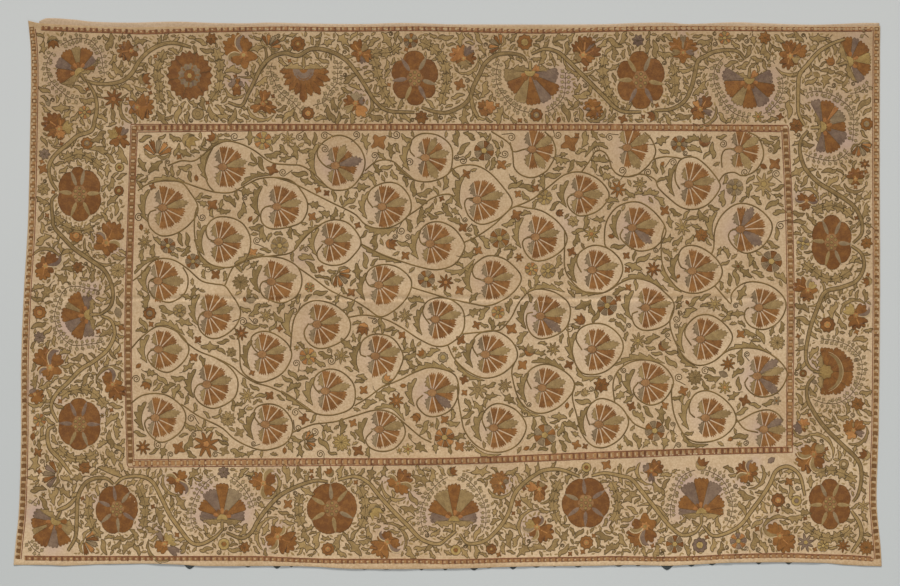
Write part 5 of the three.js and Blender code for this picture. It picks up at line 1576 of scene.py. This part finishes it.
# Small flowers of the border: daisies, maple leaves, tulips and rounds, sewn like those of the field
# but packed closer, out to the guard bands.
BORDER_FLOWERS = """
-118.5 75.5 2 tulip rv; -100.3 58.5 3 star ro; -91 64.5 2 tulip rv; -109 54.5 2 daisy yo;
-120 57.5 1.2 bud gg; -53 75.5 2.5 leafy or; -71 76.5 1.8 maple rr; -45 75 2.3 round rr;
-42 54.2 2 round ro; -75 54 2.3 circle vd; -11.2 76 2.2 daisy gr; -8 53 2 maple ro; 14.5 75 2.5 leafy or;
23 75.5 2.4 round ry; 3.5 62.8 1.5 quad rr; 26.5 53.7 2 round rg; 33.2 52.3 1 bud rr;
52.5 52.5 1.2 quad rr; 61.5 53.5 1.8 tulip rv; 57 76 1.8 maple mm; 95 76.8 1.9 maple rr;
83 76.8 2 daisy yo; 93 53.2 1.7 star yo; 99.6 53.2 .9 quad rr; 110.5 65.8 1.3 bud dd;
114.7 69.8 1.5 tulip rr; 104.5 50.5 2.2 maple rv; 125.5 51 2 round rg; 124 43.5 2.5 leafy ro;
125 39 1.5 star ro; 106.5 15.2 2 daisy gy; 125.5 15.3 1.8 maple rr; 125.8 3.8 1.5 tulip rv;
113.8 -9.2 2.4 round ro; 106.5 -23.8 1.4 circle rv; 105.8 -14.3 .9 quad gg; 122.3 -19.7 .8 bud gg;
109.8 -26.3 1 bud gg; 122.8 -33 2 maple ro; 118.7 -51 1.9 circle dc; 125 -48.3 1.8 tulip rv;
99 -61.8 2.2 round ro; 104.5 -62 2 circle ym; 102.3 -56.3 1.2 quad rr; 87 -74 2.5 daisy mo;
107.3 -74.5 2.5 star my; 112.5 -75.5 1.8 daisy yy; 118.5 -75.5 2 star rr; 125.5 -76 2.3 maple ro;
124.5 -63.5 1.7 star vv; 97 -49.8 1.3 bud mm; 41.5 -74.5 2.1 round ro; 68 -75 2.7 daisy rg;
75.5 -75.3 2.3 round my; 76 -51 2 tulip rv; 47.5 -51.3 1.3 quad rr; 41.5 -52 1.8 circle yr;
2.3 -76.8 2 circle yr; 1.2 -53.3 1.6 tulip rv; -22 -65 2.5 tulip yv; 21 -62.8 1 quad rr;
13 -76.5 1.7 round rr; -67.3 -53.5 1.8 maple mm; -67.2 -75 2.2 circle yr; -61 -76 1.7 maple ro;
-36 -76.5 2 round ro; -35.5 -53.5 1.5 tulip rv; -48 -63 1.3 quad rr; -107.5 -74.5 3 leafy ro;
-119 -54 3 leafy rm; -109 -52 2 maple ro; -108.3 45.2 1.9 round rg; -121 42 1.7 maple mm;
-121.5 37.5 1.3 quad rr; -121.3 31.5 1.9 maple vv; -98.5 38 1.7 circle yr; -98.7 31 1.8 circle ry;
-111.5 17.5 2.2 round ro; -111 8 1.8 maple rr; -99 7 2.5 maple vv; -122.5 -5.5 2.1 round ro;
-122.5 -37.8 2 daisy yo; -124.5 -42.8 1.2 bud rr; -123 -47.5 1.2 quad rr; -99 -5.5 1.7 bud gg;
-122.5 -13 1.7 maple mm; -98 -10 1 quad rr;
"""
border_blooms = Stitching()
for x, y, radius, kind, codes in table(BORDER_FLOWERS):
    flower(border_blooms, float(x), float(y), float(radius), kind, codes.replace("d", "v"))
border_blooms.sew("border_flowers")

# Halos: a thin brown vine runs round each large palmette, a finger's breadth off its lobes, wherever there
# is room, and small pale leaves stand on both sides of it.
REACH = 9
offset_row, offset_column = np.mgrid[-REACH:REACH + 1, -REACH:REACH + 1]
offset_away = np.hypot(offset_row, offset_column) * CELL
LEAFLET = path("0 0 0.35 0.36 0.7 0.4 0.8 0.12 1.1 0 0.7 -0.15 0.6 -0.4 0.3 -0.3")


def room(x, y):
    """How far it is from a place to the nearest work."""
    row, column = cells(np.array([x, y]))
    if not (REACH < row < worked.shape[0] - REACH - 1 and REACH < column < worked.shape[1] - REACH - 1):
        return 0.0
    near = worked[row - REACH:row + REACH + 1, column - REACH:column + REACH + 1]
    return float(np.min(np.where(near, offset_away, REACH * CELL)))


def in_border(x, y):
    inside = -97.5 < x < 104.2 and -52.6 < y < 51.6
    left_edge, right_edge = float(follow(LEFT_EDGE, y)), float(follow(RIGHT_EDGE, y))
    return left_edge + 3.4 < x < right_edge - 3.4 and -78.2 < y < 78.2 and not inside


halos = Stitching()
for heart, rim in fan_rims:
    turns = np.linspace(rim[0, 0] - 0.5, rim[-1, 0] + 0.5, 70)
    out = np.interp(turns, rim[:, 0], rim[:, 1]) + 2.1 + 0.3 * np.sin(turns * 4 + heart[0])
    line = smooth(heart + polar(turns, out), 0.5)
    free = [in_border(*place) and room(*place) > 0.5 for place in line]
    way = np.gradient(line, axis=0)
    for k in range(1, len(line)):
        if not (free[k] and free[k - 1]):
            continue
        halos.cord("dark", [line[k - 1], (line[k - 1] + line[k]) / 2, line[k]], 0.18, tone=0.9)
        if k % 3:
            continue
        for side in (-1, 1):
            turn = math.atan2(way[k][1], way[k][0]) + side * (1.0 + 0.4 * chance.random())
            foot = line[k] + ray(turn, 0.4)
            halos.cord("dark", [line[k], (line[k] + foot) / 2, foot], 0.14, tone=0.9)
            leaf = turned(LEAFLET * (1.1 + 0.3 * chance.random()), turn + 0.3 * chance.normal())
            halos.patch("sage", foot + leaf, lay=turn, full=0.04, edge=0.1)
halos.sew("border_halos")
for heart, rim in fan_rims:
    turns = np.linspace(rim[0, 0] - 0.35, rim[-1, 0] + 0.35, 160)
    for away in np.arange(0.3, 3.6, 0.25):
        out = np.interp(turns, rim[:, 0], rim[:, 1]) + away
        mark(heart + polar(turns, out))

# Stem leaves: long curved leaves with saw edges that spring from the border stems wherever there is
# room. Each is the longest of four lengths that fits.
stem_leaves = Stitching()
for line in stem_lines:
    way = np.gradient(line, axis=0)
    for k in range(3, len(line) - 2, 3):
        for side in chance.permutation([-1, 1]):
            turn = math.atan2(way[k][1], way[k][0]) + side * (0.4 + 0.5 * chance.random())
            bend = side * (1.5 * chance.random() - 0.4)
            foot = line[k] + ray(turn, 0.3)
            for long in (8.5, 7.0, 5.5, 4.2):
                bends = [ray(turn, 0), ray(turn, 0.35 * long), ray(turn + bend / 2, 0.68 * long),
                         ray(turn + bend, 0.95 * long)]
                spine = foot + np.stack(bends)
                if all(in_border(*place) and room(*place) > 0.85 for place in smooth(spine, 0.5)[3:]):
                    saw_leaf(stem_leaves, spine, 0.25 * long, int(long / 1.3), int(side),
                             edge=0.19, back=0.25, deep=0.55)
                    break
stem_leaves.sew("border_leaves")

# Small leaves and curls: the embroiderers left little cotton bare, so each gap between the larger
# motifs holds a saw-edged leaf, a curl or a sprig as large as the gap allows.


def in_field(x, y):
    return -92.5 < x < 100 and -45.5 - (100 - x) * 0.018 < y < 48.3


def fill(work, grid, allowed, least, most, draw):
    """Visits a jittered grid in a shuffled order and draws wherever there is room."""
    xs, ys = np.meshgrid(np.arange(-126, 127, grid), np.arange(-79, 79, grid))
    places = np.stack([xs.ravel(), ys.ravel()], -1) + chance.random((xs.size, 2)) * grid
    for x, y in chance.permutation(places):
        if not allowed(x, y):
            continue
        free = room(x, y)
        if free >= least:
            draw(work, np.array([x, y]), min(free, most))


# Leaves, drawn from foot to tip: a lobed one, one with a split tip, a three-toothed one and a hooked one
LEAF_SHAPES = [path(row) for row in table("""
-1.4 -0.1 -0.8 0.25 -0.6 0.9 -0.15 0.4 0.2 0.95 0.5 0.35 1.0 0.6 1.05 0.15
1.6 -0.15 0.8 -0.4 0.1 -0.3 -0.6 -0.4;
-1.4 0 -0.7 0.3 -0.45 0.85 -0.05 0.35 0.5 0.45 1.2 0.9 0.85 0.2 1.5 -0.2
0.8 -0.3 0.3 -0.75 0 -0.3 -0.7 -0.3;
-1.35 0 -0.7 0.15 -0.45 0.8 0.05 0.4 0.45 0.7 0.6 0.25 1.45 0 0.6 -0.25
0.4 -0.7 0 -0.35 -0.5 -0.75 -0.7 -0.15;
-1.4 0.3 -0.8 0.5 -0.2 0.5 0.1 0.95 0.4 0.4 1.0 0.25 1.5 -0.45 0.8 -0.35
0.2 -0.5 -0.1 -0.9 -0.3 -0.35 -0.9 -0.1;
""")]
SPRIG_LEAF = path("-1.2 0 -0.6 0.35 -0.2 0.75 0.1 0.4 0.5 0.65 0.75 0.3 1.3 0.1 0.6 -0.3 -0.4 -0.35")
PLAIN_LEAF = path("-1.2 0 -0.3 0.55 0.6 0.4 1.3 0 0.5 -0.4 -0.4 -0.45")


def small_leaf(work, place, free, thread="olive"):
    """A leaf on a short stalk: saw-edged, plain and pointed, or lobed."""
    turn = any_turn()
    pick = chance.random()
    if pick < 0.75:
        side = either()
        spine = place + turned(path("-1.4 0.35 -0.75 -0.05 0.15 0.12 1.35 -0.4") * [free, free * side], turn)
        if pick < 0.5:
            saw_leaf(work, spine, 0.95 * free, int(chance.integers(3, 6)), side, thread, 0.17, 0.3, 0.6)
        else:
            saw_leaf(work, spine, 0.42 * free, 1, side, thread, 0.17, 1.0, 0.0)
        return
    shape = LEAF_SHAPES[int(chance.integers(4))] * [1, either()]
    outline = smooth(shape * free * 1.05, 0.3 + 0.06 * free, closed=True)
    stalk = path("-2.1 0.3 -1.7 0.05 -1.2 0") * free
    work.cord("dark", place + turned(stalk, turn), 0.16, lift=0.01, tone=0.6)
    work.patch(thread, place + turned(outline, turn), place, lay=turn, edge=0.18)


def field_leaf(work, place, free):
    """The same in the darker olive of the field."""
    small_leaf(work, place, free, "leaf")


def sprig(work, place, free):
    """A small three-toothed leaf, a curl or a little bud."""
    pick = chance.random()
    if pick < 0.16:
        spiral(work, place[0], place[1], free * 0.9, any_turn(), 1 if pick < 0.08 else -1)
    elif pick < 0.26:
        flower(work, place[0], place[1], free * 0.85, "quad", "rr")
    elif pick < 0.32:
        flower(work, place[0], place[1], free * 0.9, "star", "yo")
    else:
        turn = any_turn()
        work.patch("olive", place + turned(SPRIG_LEAF * free, turn), lay=turn, edge=0.15)


def leaflet(work, place, free):
    """The smallest leaf that fits."""
    turn = any_turn()
    thread = "olive" if chance.random() < 0.7 else "moss"
    work.patch(thread, place + turned(PLAIN_LEAF * free, turn), lay=turn, full=0.04)


fillers = Stitching()
fill(fillers, 1.3, in_border, 1.3, 2.0, small_leaf)
fill(fillers, 1.3, in_field, 1.35, 1.8, field_leaf)
fill(fillers, 1.1, in_border, 0.8, 1.3, small_leaf)
fill(fillers, 1.2, in_field, 0.95, 1.35, field_leaf)
fill(fillers, 0.9, in_border, 0.6, 0.85, sprig)
fill(fillers, 0.9, in_field, 0.8, 1.0, sprig)
fill(fillers, 0.8, in_border, 0.48, 0.7, leaflet)
fillers.sew("small_leaves")

dyed = np.clip(spread, 0, 1) * 0.9
cover.data.attributes["dye"].data.foreach_set("value", np.concatenate([dyed, dyed * 0]))
